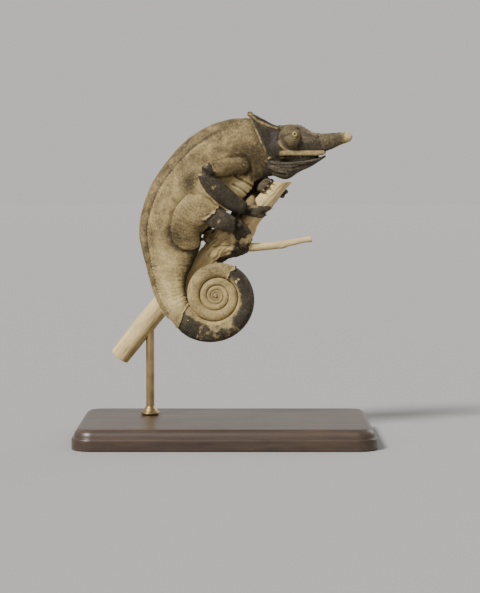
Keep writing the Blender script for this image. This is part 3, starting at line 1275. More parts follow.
def hide_group():
    """Colours of the moulting hide: pale dry old skin over dark supple fresh skin."""
    tree, given, result = new_tree(
        "hide", "ShaderNodeTree",
        (("Place", "Vector", None), ("Fresh", "Float", 0.0), ("Tone", "Float", 0.0),
         ("Speckle", "Float", 0.4), ("Shade", "Float", 0.0)),
        (("Colour", "Color", None), ("Roughness", "Float", None), ("Height", "Float", None)))
    place = given["Place"]
    wide = calc(tree, "SUBTRACT", noise_map(tree, place, 5.0, 3.0), 0.5)
    fine = calc(tree, "SUBTRACT", noise_map(tree, place, 1.1, 2.0, 0.6), 0.5)
    speck = add_node(tree, "ShaderNodeTexWhiteNoise", {"Vector": place}, noise_dimensions="3D")
    speck = calc(tree, "SUBTRACT", speck.outputs["Value"], 0.5)
    speck = calc(tree, "MULTIPLY", speck, given["Speckle"])
    level = calc(tree, "MULTIPLY_ADD", given["Tone"], 0.34, 0.52)
    level = calc(tree, "MULTIPLY_ADD", wide, 0.45, level)
    level = calc(tree, "MULTIPLY_ADD", fine, 0.55, level)
    level = calc(tree, "SUBTRACT", calc(tree, "ADD", level, speck), given["Shade"])
    colour = mix_colour(tree, given["Fresh"], ramp(tree, level, OLD_SKIN), ramp(tree, level, FRESH_SKIN))
    tree.links.new(colour, result.inputs["Colour"])
    dry = calc(tree, "MULTIPLY_ADD", given["Fresh"], -0.24, 0.7)
    tree.links.new(calc(tree, "MULTIPLY_ADD", fine, 0.2, dry), result.inputs["Roughness"])
    cells = add_node(tree, "ShaderNodeTexVoronoi", {"Vector": place, "Scale": 1 / (0.5 * MM)}, feature="F1")
    tree.links.new(calc(tree, "SUBTRACT", 1.0, cells.outputs["Distance"]), result.inputs["Height"])
    return tree


def new_material(name, **constants):
    """A material and its shader, with plain values set on the shader's own sockets."""
    material = bpy.data.materials.new(name)
    material.use_nodes = True
    shader = material.node_tree.nodes["Principled BSDF"]
    for key, value in constants.items():
        shader.inputs[key.replace("_", " ")].default_value = value
    return material, material.node_tree, shader


def attribute(tree, name, output="Fac"):
    return add_node(tree, "ShaderNodeAttribute", attribute_name=name).outputs[output]


def add_bump(tree, shader, height, depth, strength):
    lumps = add_node(tree, "ShaderNodeBump", {"Height": height, "Distance": depth * MM, "Strength": strength})
    tree.links.new(lumps.outputs["Normal"], shader.inputs["Normal"])


def add_looks(tree, shader, colour, roughness):
    tree.links.new(colour, shader.inputs["Base Color"])
    tree.links.new(roughness, shader.inputs["Roughness"])


def object_place(tree):
    return add_node(tree, "ShaderNodeTexCoord").outputs["Object"]


def hide_material(name, group, bump_depth, speckle, shade):
    material, tree, shader = new_material(name, Specular_IOR_Level=0.22)
    hide = add_node(tree, "ShaderNodeGroup", {
        "Place": attribute(tree, "root", "Vector"), "Fresh": attribute(tree, "fresh"),
        "Tone": attribute(tree, "tone"), "Speckle": speckle, "Shade": shade}, node_tree=group)
    add_looks(tree, shader, hide.outputs["Colour"], hide.outputs["Roughness"])
    if bump_depth:
        add_bump(tree, shader, hide.outputs["Height"], bump_depth, 0.8)
    return material


# --- The dressed skin ---
def unwrap(obj, name):
    """Lays the skin's own faces out flat as a map."""
    obj.data.uv_layers.active = obj.data.uv_layers.new(name=name)
    bpy.context.view_layer.objects.active = obj
    obj.select_set(True)
    bpy.ops.object.mode_set(mode="EDIT")
    bpy.ops.mesh.select_all(action="SELECT")
    bpy.ops.uv.smart_project(angle_limit=1.15, island_margin=0.001, scale_to_bounds=True)
    bpy.ops.object.mode_set(mode="OBJECT")
    obj.select_set(False)


def dress_skin(body, survey):
    """Joins the trunk, tail and eyelids into one skin that carries its markings and the lie of its scales."""
    fresh, tone = skin_marks(survey)
    region, cover = skin_regions(survey)
    faces = [list(face.vertices) for face in body.data.polygons]
    lengths = [(read_points(body.data), faces, fresh, tone, survey.lie, region, cover)]
    points, faces = closed_grid(TAIL.rings(TAIL_SIDES))
    _, _, lie = TAIL.at(TAIL.locate(points)[0], 0.0)
    fresh, tone = tail_marks(points)
    bare = np.full(len(points), NO_SCALES), np.zeros(len(points))
    lengths.append((points, faces, fresh, tone, lie, *bare))
    for sign in (-1, 1):
        cap = eyelid_cap(sign)
        points, count = cap.reshape(-1, 3), cap.shape[0] * cap.shape[1]
        faces = grid_faces(*cap.shape[:2])
        if sign < 0:
            faces = [face[::-1] for face in faces]
        centre, gaze = eye_place(sign)
        rim = pupil_rim(EYE_RADIUS * np.arccos(np.clip(unit(points - centre) @ gaze, -1, 1)))
        lie = np.tile((0.0, 0.0, 1.0), (count, 1))
        bare = np.full(count, NO_SCALES), np.zeros(count)
        lengths.append((points, faces, 0.5 - 0.5 * rim, 0.2 + rim, lie, *bare))
    points, faces = join_meshes([length[:2] for length in lengths])
    fresh, tone, lie, region, cover = (np.concatenate([length[k] for length in lengths]) for k in range(2, 7))
    skin = make_object("skin_and_hide", points, faces)
    bpy.data.objects.remove(body)
    first = np.array([face[0] for face in faces])
    grain = 1 + 0.16 * noise(points, 1.6, 51)
    mark_points(skin, fresh=fresh, tone=tone, cover=cover, grain=grain, lie=lie, root=points * MM)
    regions = skin.data.attributes.new("region", "INT", "FACE")
    regions.data.foreach_set("value", region[first].astype(np.int32))
    unwrap(skin, "OFBake")
    return skin


def build_packed_scales(skin, finish):
    """The pieces of the coat, each grown from a copy of the skin."""
    tree = granule_tree()
    for region, (name, spacing, height) in enumerate(REGIONS):
        first, last = (FRONT, HIND) if region <= HIND else (region, region)
        values = {"Region": region, "First region": first, "Last region": last, "Spacing": spacing * MM,
                  "Height": height, "Seed": SCALE_SEED, "Finish": finish}
        piece = add_object(name, skin.data.copy())
        grow(piece, tree, values)
        finish_piece(piece, "dark_skin" if region in (GRIP, FACE) else "pale_skin", finish)


# --- Scales in rows ---
BESIDE = 30.0  # how far out to each side is clear of the animal


class Roots:
    """Places for scales: where each stands, which way it faces and lies, its size and its markings."""

    def __init__(self):
        self.rows = []

    def add(self, place, outward, lie, size, fresh, tone):
        """size is length, breadth and height. Single values stand for all the places."""
        count = len(place)
        columns = [np.broadcast_to(value, (count, 3)) for value in (place, outward, lie, size)]
        columns += [np.broadcast_to(value, count)[:, None] for value in (fresh, tone)]
        self.rows.append(np.concatenate(columns, -1))

    def grown(self, name, skin, tree, finish, slot, pointed=False, sides=6):
        rows = np.concatenate(self.rows)
        piece = make_object(name, rows[:, :3], [])
        mark_points(piece, outward=rows[:, 3:6], lie=rows[:, 6:9], size=rows[:, 9:12] * MM, fresh=rows[:, 12],
                    tone=rows[:, 13])
        grow(piece, tree, {"Skin": skin, "Pointed": pointed, "Sides": sides, "Finish": finish})
        finish_piece(piece, slot, finish)


def cast(skin, origins, directions):
    """Where rays in millimetres meet the skin: (found, points, normals)."""
    found, points, normals = [], [], []
    for origin, direction in zip(origins, directions):
        hit, place, normal, _ = skin.ray_cast(Vector(origin) * MM, Vector(direction))
        found.append(hit)
        points.append(np.array(place) / MM)
        normals.append(np.array(normal))
    return np.array(found), np.array(points), np.array(normals)


def cast_sideways(skin, spots, sign):
    """Where level rays from beside the animal meet the skin at spots of x and z, with their origins."""
    origins = vectors(spots[:, 0], BESIDE * sign, spots[:, 1])
    return origins, *cast(skin, origins, np.tile((0.0, -sign, 0.0), (len(spots), 1)))


def along_line(line, spacing):
    """Points evenly spaced along a bent line, and the direction of the line at each."""
    line = np.asarray(line, float)
    run = run_along(line)
    place = np.arange(spacing / 2, run[-1], spacing)
    points, ahead, behind = (rows_at(place + step, run, line) for step in (0.0, 0.3, -0.3))
    return points, unit(ahead - behind)


def add_side_row(roots, skin, line, spacing, size, fresh, tone, sink=0.1, unevenness=0.15):
    """A row of scales on both sides of the head, along a line of x and z seen from the side."""
    spots, ways = along_line(line, spacing)
    lie = vectors(ways[:, 0], 0.0, ways[:, 1])
    for sign in (-1, 1):
        origins, found, points, normals = cast_sideways(skin, spots, sign)
        change = 1 + unevenness * noise(origins, 0.9, 61)
        sizes = np.asarray(size) * change[:, None]
        shades = tone + 0.45 * noise(origins, 1.1, 62)
        keep = found & (points[:, 1] * sign > 0.0)
        points, normals = points[keep], normals[keep]
        roots.add(points - normals * sink, normals, lie[keep], sizes[keep], fresh, shades[keep])


TAIL_SCALES = 0.16  # pitch of the tail's scales as a share of its radius
TAIL_SCALE_PITCH = (0.31, 0.54)  # the smallest and the largest pitch
TAIL_COVER = 2.72  # angle each way from the tail's back that its scales reach
CREST_RUN = (12.0, 96.0)  # places along the trunk where the row of spines starts and ends
CREST_PITCH = 0.62
EYELID_RINGS = (1.3, 5.3, 0.41)  # reach of the first ring of scales and the last, and their spacing
EYELID_PITCH = 0.44
BACK_ROW = 0.76  # angle from the middle of the back to the row of larger scales on each side
GOLDEN_ANGLE = 2.39996  # scatters the larger scales round a limb


def tail_roots(low, high):
    """Rings of small scales round the tail, each ring half a scale round from the last."""
    roots, place, ring = Roots(), low, 0
    while place < high:
        deep = float(np.interp(place, TAIL.place, TAIL.depths))
        pitch = np.clip(TAIL_SCALES * deep, *TAIL_SCALE_PITCH)
        count = max(int(TURN * deep / pitch), 7)
        angle = wrapped(turns(count, 0.5 * (ring % 2)))
        angle = angle[np.abs(angle) < TAIL_COVER]
        points, outward, lie = TAIL.at(place, angle)
        fresh, tone = tail_marks(points)
        grown = 1 + 0.14 * noise(points, 0.9, 63)
        size = np.outer(grown, np.array((1.1, 1.12, 0.5)) * pitch)
        roots.add(points - outward * 0.03, outward, lie, size, fresh, tone)
        place += 0.9 * pitch
        ring += 1
    return roots


def crest_roots():
    """The fine spines of the back: tallest on the nape, fading towards the hips."""
    roots = Roots()
    place = np.arange(*CREST_RUN, CREST_PITCH)
    points, outward, lie = TRUNK.at(place, 0.05 * np.cos(place * 9.0), 0.3)
    tall = 0.3 + 0.75 * soft(place, 12, 16) * (1 - soft(place, 24, 38))
    tall *= 1 + 0.45 * noise(points, 0.7, 65)
    outward = unit(outward + 0.3 * lie)
    size = vectors(0.36 + 0.1 * tall, 0.3 + 0.05 * tall, 0.2 + tall)
    roots.add(points, outward, lie, size, 0.0, 0.25)
    return roots


def turret_roots(skin):
    """Rings of tiny scales on the eyelids."""
    roots = Roots()
    for sign in (-1, 1):
        centre, gaze, level, upright = eye_axes(sign)
        for ring, reach in enumerate(np.arange(*EYELID_RINGS)):
            turned = reach / EYE_RADIUS
            count = int(TURN * math.sin(turned) * EYE_RADIUS / EYELID_PITCH)
            angle = turns(count, 0.5 * (ring % 2))
            ways = gaze * math.cos(turned) + math.sin(turned) * (
                level * np.cos(angle)[:, None] + upright * np.sin(angle)[:, None])
            found, points, normals = cast(skin, centre + ways * 7.0, -ways)
            lie = unit(np.cross(np.tile(gaze, (count, 1)), normals))
            creased = crease_share(-reach * np.cos(angle), -reach * np.sin(angle))
            keep = found & (creased < 0.5) & (np.linalg.norm(points - centre, axis=1) < 6.2)
            up = np.sin(angle) * reach
            tone = 0.05 + 0.45 * math.cos(TURN * reach / EYE_WRINKLES) + 0.25 * noise(points, 1.2, 67)
            tone = tone + 0.5 * soft(-up, -0.5, 3.0) - 0.35 * soft(up, 0.8, 2.5)
            roots.add(points[keep], normals[keep], lie[keep], (0.46, 0.4, 0.17), 0.62, tone[keep])
    return roots


def face_roots(skin):
    """Larger scales of the face: lips, crests and cheek."""
    roots = Roots()
    upper = ((24.6, 123.1), (28.0, 123.3), (34.0, 123.25), (39.5, 123.35), (42.6, 124.2))
    above = tuple((x, z + 0.8) for x, z in upper)
    add_side_row(roots, skin, upper, 0.82, (0.9, 0.95, 0.42), 0.1, 0.35)
    add_side_row(roots, skin, above, 0.7, (0.72, 0.7, 0.4), 0.3, 0.2)
    lower = tuple((x, top - 0.75) for x, top, _, _ in JAW[1:-1])
    add_side_row(roots, skin, lower, 0.85, (0.9, 0.95, 0.35), 1.0, 0.35)
    add_side_row(roots, skin, CASQUE_CREST, 0.62, (0.84, 0.66, 0.4), 0.15, 0.1, 0.0, unevenness=0.35)
    add_side_row(roots, skin, BROW_CREST, 0.62, (0.8, 0.62, 0.4), 0.6, 0.25, 0.0, unevenness=0.35)
    add_side_row(roots, skin, CHEEK_FOLD, 0.75, (0.8, 0.7, 0.4), 0.3, 0.4)
    return roots


def tubercle_roots():
    """Scattered larger scales: a row along each side of the back, and some on the flanks and limbs."""
    roots = Roots()
    place = np.arange(14.0, 88.0, 1.25)
    for angle in (-BACK_ROW, BACK_ROW):
        wobble = 0.05 * noise(vectors(place, 0.0, angle), 2.0, 71)
        points, outward, lie = TRUNK.at(place, angle + wobble, 0.12)
        grown = 0.72 + 0.16 * noise(points, 1.3, 73) + 0.2 * soft(place, 30, 50)
        tone = 0.12 + 0.25 * noise(points, 2.0, 74)
        roots.add(points, outward, lie, np.outer(grown, (0.95, 0.85, 0.5)), 0.0, tone)
    for name, tube in LIMB_TUBES.items():
        place = np.arange(2.0, tube.length - 1.5, 1.3)
        angle = (place * GOLDEN_ANGLE * 2.3) % TURN
        points, outward, lie = tube.at(place, angle, 0.05)
        dark = float("forearm" in name or "shank" in name)
        grown = 0.62 + 0.2 * noise(points, 1.0, 75)
        roots.add(points, outward, lie, np.outer(grown, (1.0, 1.0, 0.45)), dark, 0.15)
    return roots


# --- Horn, eyes and claws ---
HORN_SCALES = 0.5  # pitch of the horn's scales
HORN_COAT = (38.2, 52.3)  # x where the horn's scales start and end


def build_horn(tree, finish):
    rings = horn_rings()
    middle = rings.mean(1, keepdims=True)
    outward = unit(rings - middle)
    rings = rings - outward * 0.3
    x = rings[:, 0, 0]
    tip = soft(x, 50.8, 52.4)[:, None, None]
    lumps = noise(rings.reshape(-1, 3), 1.3, 81).reshape(*rings.shape[:2], 1)
    rings = rings + outward * ((0.12 - 0.06 * tip) * lumps + 0.3 * tip)
    points, faces = closed_grid(rings)
    horn = make_object("horn_core", points, faces)
    bald = soft(points[:, 0] + 0.6 * noise(points, 1.4, 83), 50.6, 52.2)
    mark_points(horn, fresh=0.9 - 0.9 * bald, tone=0.1 + 0.35 * bald, root=points * MM)
    finish_piece(horn, "horn_skin", finish, ["horn"])

    roots, ring, place = Roots(), 0, HORN_COAT[0]
    while place < HORN_COAT[1]:
        row = rings[int(np.searchsorted(x, place))]
        closed = np.concatenate([row, row[:1]])
        around = run_along(closed)
        pitch = HORN_SCALES * (1.35 - 0.6 * soft(place, 38, 51))
        count = int(around[-1] / pitch)
        at = (np.arange(count) + 0.5 * (ring % 2)) / count * around[-1]
        points = rows_at(at, around, closed)
        normals = unit(points - row.mean(0))
        spare = noise(points, 0.45, 84)
        points = points + 0.24 * pitch * spare[:, None] * unit(np.roll(points, 1, 0) - points)
        grown = 1.02 + 0.22 * noise(points, 0.7, 85)
        size = np.outer(grown, np.array((1.06, 1.06, 0.5)) * pitch)
        size = size * (1 - 0.75 * float(soft(place, 50.8, HORN_COAT[1])))
        tone = 0.02 + 0.45 * soft(points[:, 2] - row[:, 2].mean(), 0.5, 1.8)
        tone = tone + 0.2 * noise(points, 1.2, 86)
        fresh = 0.85 - 0.6 * soft(points[:, 0] + 0.5 * noise(points, 1.2, 87), 48.5, 52.0)
        roots.add(points, normals, (1.0, 0.0, 0.0), size, fresh, tone)
        place += 0.88 * pitch
        ring += 1
    roots.grown("horn_scales", horn, tree, finish, "horn_skin")


def build_eyeballs(finish):
    """Dark wet eyes, seen through the small holes of the lids."""
    for side, sign in (("right", -1), ("left", 1)):
        centre, gaze = eye_place(sign)
        radius = 1 / np.linalg.norm(gaze / EYE_TURRET_RADII)
        middle = centre + gaze * (radius - EYEBALL_RADIUS + 0.12)
        points, faces = closed_grid(ball((0.0, 0.0, 0.0), (EYEBALL_RADIUS,) * 3, 24, 32))
        cornea = 0.1 * bump(np.hypot(points[:, 0], points[:, 1]), 0.7) * (points[:, 2] > 0)
        points[:, 2] += cornea
        turn = np.array(Vector(gaze).to_track_quat("Z", "Y").to_matrix())
        eyeball = make_object("eyeball_" + side + "_wet", middle + points @ turn.T, faces)
        polar = np.hypot(points[:, 0], points[:, 1]) + 2.0 * (points[:, 2] < 0)
        mark_points(eyeball, polar=polar)
        finish_piece(eyeball, "eye", finish, ["eyeball_" + side])


def build_claws(finish):
    meshes, tips = [], []
    for name in GRIPS:
        for rings in grip_parts(name)[1]:
            points, faces = closed_grid(rings)
            meshes.append((points, faces))
            share = np.repeat(np.linspace(0, 1, len(rings)), rings.shape[1])
            tips.append(np.concatenate([share, [0.0, 1.0]]))
    claws = make_object("claws", *join_meshes(meshes))
    mark_points(claws, tip=np.concatenate(tips))
    finish_piece(claws, "horn_skin", finish)


# --- Loose edges of old skin ---
# Each loose edge: the tube it hangs from, the line that it leaves, as places along and angles
# round, how far it reaches along and round, and how far its edge stands off.
LOOSE_EDGES = (
    ("tail", CUFF, (1.6, 0.0), 0.4),
    ("tail_band", ((0.0, -3.0), (0.2, -1.6), (-0.5, 0.0), (0.3, 1.5), (0.0, 3.0)), (-1.3, 0.0), 0.45),
    ("upper_arm_right", ((14.3, -1.9), (14.9, -1.3), (15.0, -0.6), (14.8, 0.1), (14.2, 0.7)),
     (1.5, 0.0), 0.6),
    ("forearm_right", ((0.4, -0.3), (3.5, -0.42), (7.0, -0.45), (10.5, -0.4), (14.0, -0.3), (17.0, -0.3)),
     (0.5, 0.3), 0.55),
    ("shank_right", ((8.2, -2.9), (7.6, -2.2), (6.8, -1.4), (5.6, -0.6), (5.2, 0.4)), (1.2, 0.0), 0.45),
    ("shank_left", ((5.5, -2.0), (4.6, 0.0), (5.4, 2.0)), (1.2, 0.0), 0.4),
    ("forearm_left", ((1.2, -2.6), (1.8, 0.0), (1.0, 2.6)), (1.4, 0.0), 0.4),
)
TAIL_BAND_EDGE = 1.06  # angle in the coil where the dark band ends
LOOSE_SKIN_WALL = 0.13  # thickness of the loose skin
NAPE_SPACING = 0.25  # between the places along the casque's margin where its torn edge is measured
NAPE_WAY = np.array((1.0, 0.0, 0.35))  # the way in which the torn edge lies over the casque


def torn_edge(run, seed):
    """How far a torn edge reaches at each place along its run, as a share: broad waves and small teeth."""
    spots = vectors(run, 0.0, 0.0)
    wide, fine = noise(spots, 2.1, seed), noise(spots, 0.6, seed + 1)
    return np.clip(0.55 + 0.45 * wide + 0.4 * fine, 0.08, 1.15)


def loose_sheet(tube, line, reach, lift, seed, columns=9):
    """A thin torn sheet that leaves the surface along a line and stands off at its edge."""
    line = np.asarray(line, float)
    share = np.linspace(0, 1, 90)
    path = blend_rows(line, share)
    spots, _, _ = tube.at(path[:, 0], path[:, 1])
    run = run_along(spots)
    torn = torn_edge(run, seed) * np.clip(8 * np.minimum(share, 1 - share), 0.12, 1)
    out = np.linspace(-0.25, 1.0, columns)[None, :]
    place = path[:, :1] + reach[0] * torn[:, None] * out
    angle = path[:, 1:] + reach[1] * torn[:, None] * out
    wave = 0.5 + 0.5 * noise(vectors(run, 0.0, seed), 1.8, seed + 2)[:, None]
    raised = 0.12 + lift * np.clip(out, 0, 1) ** 1.6 * (0.35 + 0.9 * wave) - 0.3 * (out < 0)
    points, _, _ = tube.at(place, angle, raised.ravel())
    return points, grid_faces(len(share), columns, closed=False)


def nape_sheet(skin, sign, seed):
    """The torn edge of old skin along the hind margin of the casque."""
    line, _ = along_line(tuple((x - 0.9, z) for x, z in CASQUE_MARGIN[1:3]), NAPE_SPACING)
    _, _, points, normals = cast_sideways(skin, line, sign)
    run = np.arange(len(line)) * NAPE_SPACING
    torn = torn_edge(run, seed)[:, None, None] * 1.15
    out = np.linspace(-0.2, 1.0, 8)[None, :, None]
    onward = unit(NAPE_WAY - normals * (normals @ NAPE_WAY)[:, None])
    raised = 0.14 + 0.3 * np.clip(out, 0, 1) ** 1.5 - 0.3 * (out < 0)
    sheet = points[:, None] + onward[:, None] * torn * out + normals[:, None] * raised
    return sheet.reshape(-1, 3), grid_faces(*sheet.shape[:2], closed=False)


def build_loose_skin(skin, finish):
    """The flaps of old skin that hang where it is coming away."""
    turned = TAIL_BAND_EDGE + math.pi / 2
    reach = TAIL_COIL_RADIUS * TAIL_SHRINK ** (turned / TURN)
    edge = (TAIL_COIL_CENTRE[0] + reach * math.cos(TAIL_BAND_EDGE), TAIL_COIL_SIDE,
            TAIL_COIL_CENTRE[1] + reach * math.sin(TAIL_BAND_EDGE))
    band = TAIL.locate(np.array([edge]))[0][0]
    shifted = {"tail": (TAIL, TAIL_START), "tail_band": (TAIL, band)}
    meshes = []
    for seed, (name, line, reach, lift) in enumerate(LOOSE_EDGES):
        tube, offset = shifted.get(name, (LIMB_TUBES.get(name), 0.0))
        moved = tuple((place + offset, angle) for place, angle in line)
        meshes.append(loose_sheet(tube, moved, reach, lift, 91 + 3 * seed))
    meshes += [nape_sheet(skin, sign, 141) for sign in (-1, 1)]
    sheets = make_object("loose_old_skin", *join_meshes(meshes))
    thicken(sheets, LOOSE_SKIN_WALL)
    points = read_points(sheets.data)
    tone = 0.3 + 0.3 * noise(points, 1.5, 151)
    mark_points(sheets, fresh=np.zeros(len(points)), tone=tone, root=points * MM)
    finish_piece(sheets, "pale_skin", finish)


# --- The branch, its bark and the twig ---
BRANCH_TUBE = tube_between([(x, z, y, r, r) for x, z, y, r in BRANCH], 420)
TWIG_TUBE = tube_between([(x, z, y, r, r) for x, z, y, r in TWIG], 160)
# Knots on the branch: place along, angle round, reach and height.
KNOTS = (
    (75.5, -0.15, 5.0, 3.4), (70.5, 0.15, 4.2, 1.6), (79.5, -0.5, 3.0, 1.2), (71.0, -1.2, 3.4, 0.9),
    (77.5, -0.6, 2.6, 1.0), (80.0, -2.2, 2.2, 0.5), (73.0, 2.2, 3.4, 0.9), (44.0, -2.4, 2.2, 0.5),
    (20.0, 2.4, 2.6, 0.6), (95.0, -2.2, 1.8, 0.4), (31.0, -0.9, 1.6, 0.3),
)
TWIG_KNOTS = ((21.0, -0.4, 1.2, 0.35), (21.4, 2.2, 1.0, 0.25))
# Cracks in the branch: depth, reach and line of places along and angles round.
CRACKS = (
    (0.5, 0.4, ((66.5, -2.0), (69.5, -1.6), (72.0, -1.15), (74.0, -1.1), (75.5, -0.8))),
    (0.22, 0.3, ((0.0, -0.75), (16.0, -0.8), (30.0, -0.7), (46.0, -0.72), (60.0, -0.6))),
    (0.15, 0.25, ((84.0, -1.5), (92.0, -1.35), (104.0, -1.2))),
    (0.3, 0.3, ((8.0, 2.0), (26.0, 2.2), (50.0, 1.9), (66.0, 2.1))),
)
# Bark left on the branch: places where it starts and ends, angle, half width and thickness.
BARK_PATCHES = (
    (60.5, 81.0, -0.1, 0.85, 1.0), (94.0, 101.0, 0.3, 0.4, 0.4), (22.0, 34.0, 1.9, 0.7, 0.5),
    (33.0, 56.0, -0.12, 0.34, 0.3), (64.0, 80.0, 2.6, 0.5, 0.6),
)
BARK_WALL = 0.45  # thickness of the strips of bark
# Strips of bark that stand off: line of places along and angles round, reach along and round, lift.
BARK_STRIPS = (
    (((60.0, -0.35), (63.0, -0.45), (66.0, -0.35), (68.5, -0.2)), (1.2, 0.5), 1.3),
    (((71.5, -0.35), (73.5, -0.45), (76.0, -0.4), (78.0, -0.25)), (1.6, 0.5), 1.5),
    (((62.0, 0.5), (65.0, 0.55), (69.0, 0.5)), (-1.6, 0.3), 1.2),
)


def bark_left(tube, place, angle):
    """(how much bark lies at places along and angles round, how thick it is there)."""
    radius = tube.sample(tube.depths, place)
    rolled = vectors(place * 0.4, radius * np.cos(angle), radius * np.sin(angle))
    wander = 0.6 * noise(rolled, 1.5, 201) + 0.4 * noise(rolled, 0.6, 202)
    cover, thick = np.zeros(len(place)), np.zeros(len(place))
    for low, high, turned, half, height in BARK_PATCHES:
        away = np.abs(wrapped(angle - turned)) / half
        ends = np.abs(place - (low + high) / 2) / ((high - low) / 2)
        inside = soft(1.0 - np.hypot(away, ends**3) + 0.45 * wander, -0.06, 0.1)
        cover = np.maximum(cover, inside)
        thick = np.maximum(thick, inside * height * (0.7 + 0.5 * wander))
    return cover, thick


def wood_relief(tube, place, angle, knots, cracks, coarse):
    """(how far the wood stands out, how deep in a crack) at places along and angles round."""
    radius = tube.sample(tube.depths, place)
    coarse = coarse * (0.35 + 0.65 * soft(place, 56.0, 66.0))
    rolled = vectors(place * 0.16, radius * np.cos(angle), radius * np.sin(angle))
    out = coarse * (0.34 * noise(rolled * (0.8, 1, 1), 3.4, 161) + 0.16 * noise(rolled, 1.1, 162))
    fine = 0.07 * noise(rolled * (1.4, 1, 1), 0.5, 163)
    out += fine + 0.4 * coarse * noise(rolled * (5, 1, 1), 7.0, 164)
    knotty = soft(place, 56.0, 63.0) * (1 - soft(place, 82.0, 88.0)) * coarse
    lumps = noise(rolled * (3.0, 1, 1), 2.6, 166)
    winding = noise(rolled * (2.6, 1, 1), 1.9, 167)
    small = 0.25 * noise(rolled * (4, 1, 1), 1.0, 168)
    out += knotty * (0.7 * lumps + small - 0.5 * bump(winding, 0.16))
    flat = vectors(place, radius * angle)
    for spot, turned, reach, height in knots:
        away = wrapped(angle - turned)
        distance = np.hypot(place - spot, radius * away)
        swirl = 0.22 * np.cos(TURN * distance / 0.9) * bump(distance, reach * 0.7)
        out += height * bump(distance, reach) + swirl - 0.7 * height * bump(distance, reach * 0.22)
    depth = knotty * (0.3 * bump(winding, 0.16) + 0.3 * np.clip(-lumps - 0.1, 0, 1))
    hollows = depth
    for deep, reach, line in cracks:
        wobble = 0.35 * noise(rolled * (6, 1, 1), 1.6, 165)
        spots = [(spot, float(np.interp(spot, tube.place, tube.depths)) * turned) for spot, turned in line]
        distance, _ = near_line(flat + vectors(0.0, wobble), spots)
        depth = np.maximum(depth, bump(distance, reach) * deep)
    return out - (depth - hollows), depth


def wooden_stick(name, tube, sides, knots, cracks, coarse, cut_start, cut_end, level_run=0.0):
    """A stick of weathered wood with its bark off. Each end is sawn if it is cut, and rounded if not.
    Over level_run, its sections turn level towards its upper end."""
    count = len(tube.place)
    place = np.repeat(tube.place, sides)
    angle = wrapped(np.tile(turns(sides), count))
    out, depth = wood_relief(tube, place, angle, knots, cracks, coarse)
    bark = np.zeros(len(place))
    if cracks:
        bark, thick = bark_left(tube, place, angle)
        out = out + thick
    rings = tube.at(place, angle, out)[0].reshape(count, sides, 3)
    if level_run:
        lean = np.clip(1 - (tube.length - tube.place) / level_run, 0, 1) / tube.along[:, 2]
        rise = (rings[:, :, 2] - tube.centres[:, None, 2]) * lean[:, None]
        rings = rings - tube.along[:, None, :] * rise[:, :, None]
    ends = []
    for wanted, i, way in ((cut_start, 0, -1), (cut_end, -1, 1)):
        shares = (0.965, 0.9, 0.75, 0.6, 0.45, 0.3, 0.15) if wanted else (0.9, 0.7, 0.4)
        middle = rings[i].mean(0)
        step = tube.along[i] * way
        caps = []
        for k, share in enumerate(shares):
            wear = 0.12 if wanted else 0.5 * (1 - share)
            rough = 0.1 * noise(rings[i] * share, 0.8, 171 + k)[:, None] * wanted
            caps.append(middle + (rings[i] - middle) * share + step * (wear + rough))
        ends.append(np.stack(caps))
    all_rings = np.concatenate([ends[0][::-1], rings, ends[1]])
    points, faces = closed_grid(all_rings)
    stick = make_object(name, points, faces)
    before, after = len(ends[0]) * sides, len(ends[1]) * sides + 2

    def with_ends(values, end=0.0):
        return np.concatenate([np.full(before, end), values, np.full(after, end)])

    radius = tube.sample(tube.depths, place)
    along = points.copy()
    along[before:-after] = vectors(place, radius * np.cos(angle), radius * np.sin(angle))
    mark_points(stick, along=along * MM, crack=with_ends(np.clip(depth / 0.5, 0, 1)),
                cut=with_ends(np.zeros(len(place)), 1.0), bark=with_ends(bark))
    return stick


def build_bark(finish):
    """Strips of dark bark that have not fallen yet."""
    meshes = []
    for seed, (line, reach, lift) in enumerate(BARK_STRIPS):
        meshes.append(loose_sheet(BRANCH_TUBE, line, reach, lift, 181 + 5 * seed, 12))
    bark = make_object("bark_strips", *join_meshes(meshes))
    thicken(bark, BARK_WALL)
    points = read_points(bark.data)
    rough = 0.14 * noise(points, 0.9, 191)[:, None] * read_normals(bark.data)
    write_points(bark.data, points + rough)
    finish_piece(bark, "bark", finish)


# --- Stand ---
BASE_CORNER = 9.0  # radius of the base's corners, seen from above
# Section of the base's edge from the floor up: how far in from the side, and the height.
BASE_EDGE = (
    (0.5, 0.0), (0.0, 0.5), (0.0, 4.6), (0.25, 5.0), (0.9, 5.15), (1.0, 5.6), (1.15, 6.6), (1.6, 7.6),
    (2.4, 8.4), (3.2, 8.75), (3.5, 9.0), (4.4, 9.0),
)


def base_ring(low, high, inward, height, per_corner=14):
    ring = []
    radius = max(BASE_CORNER - inward, 0.5)
    for k, (sx, sy) in enumerate(((1, -1), (1, 1), (-1, 1), (-1, -1))):
        corner_x = (high[0] if sx > 0 else low[0]) - sx * BASE_CORNER
        corner_y = (high[1] if sy > 0 else low[1]) - sy * BASE_CORNER
        for step in range(per_corner + 1):
            angle = -math.pi / 2 + (k + step / per_corner) * math.pi / 2
            ring.append((corner_x + radius * math.cos(angle), corner_y + radius * math.sin(angle), height))
    return np.array(ring)


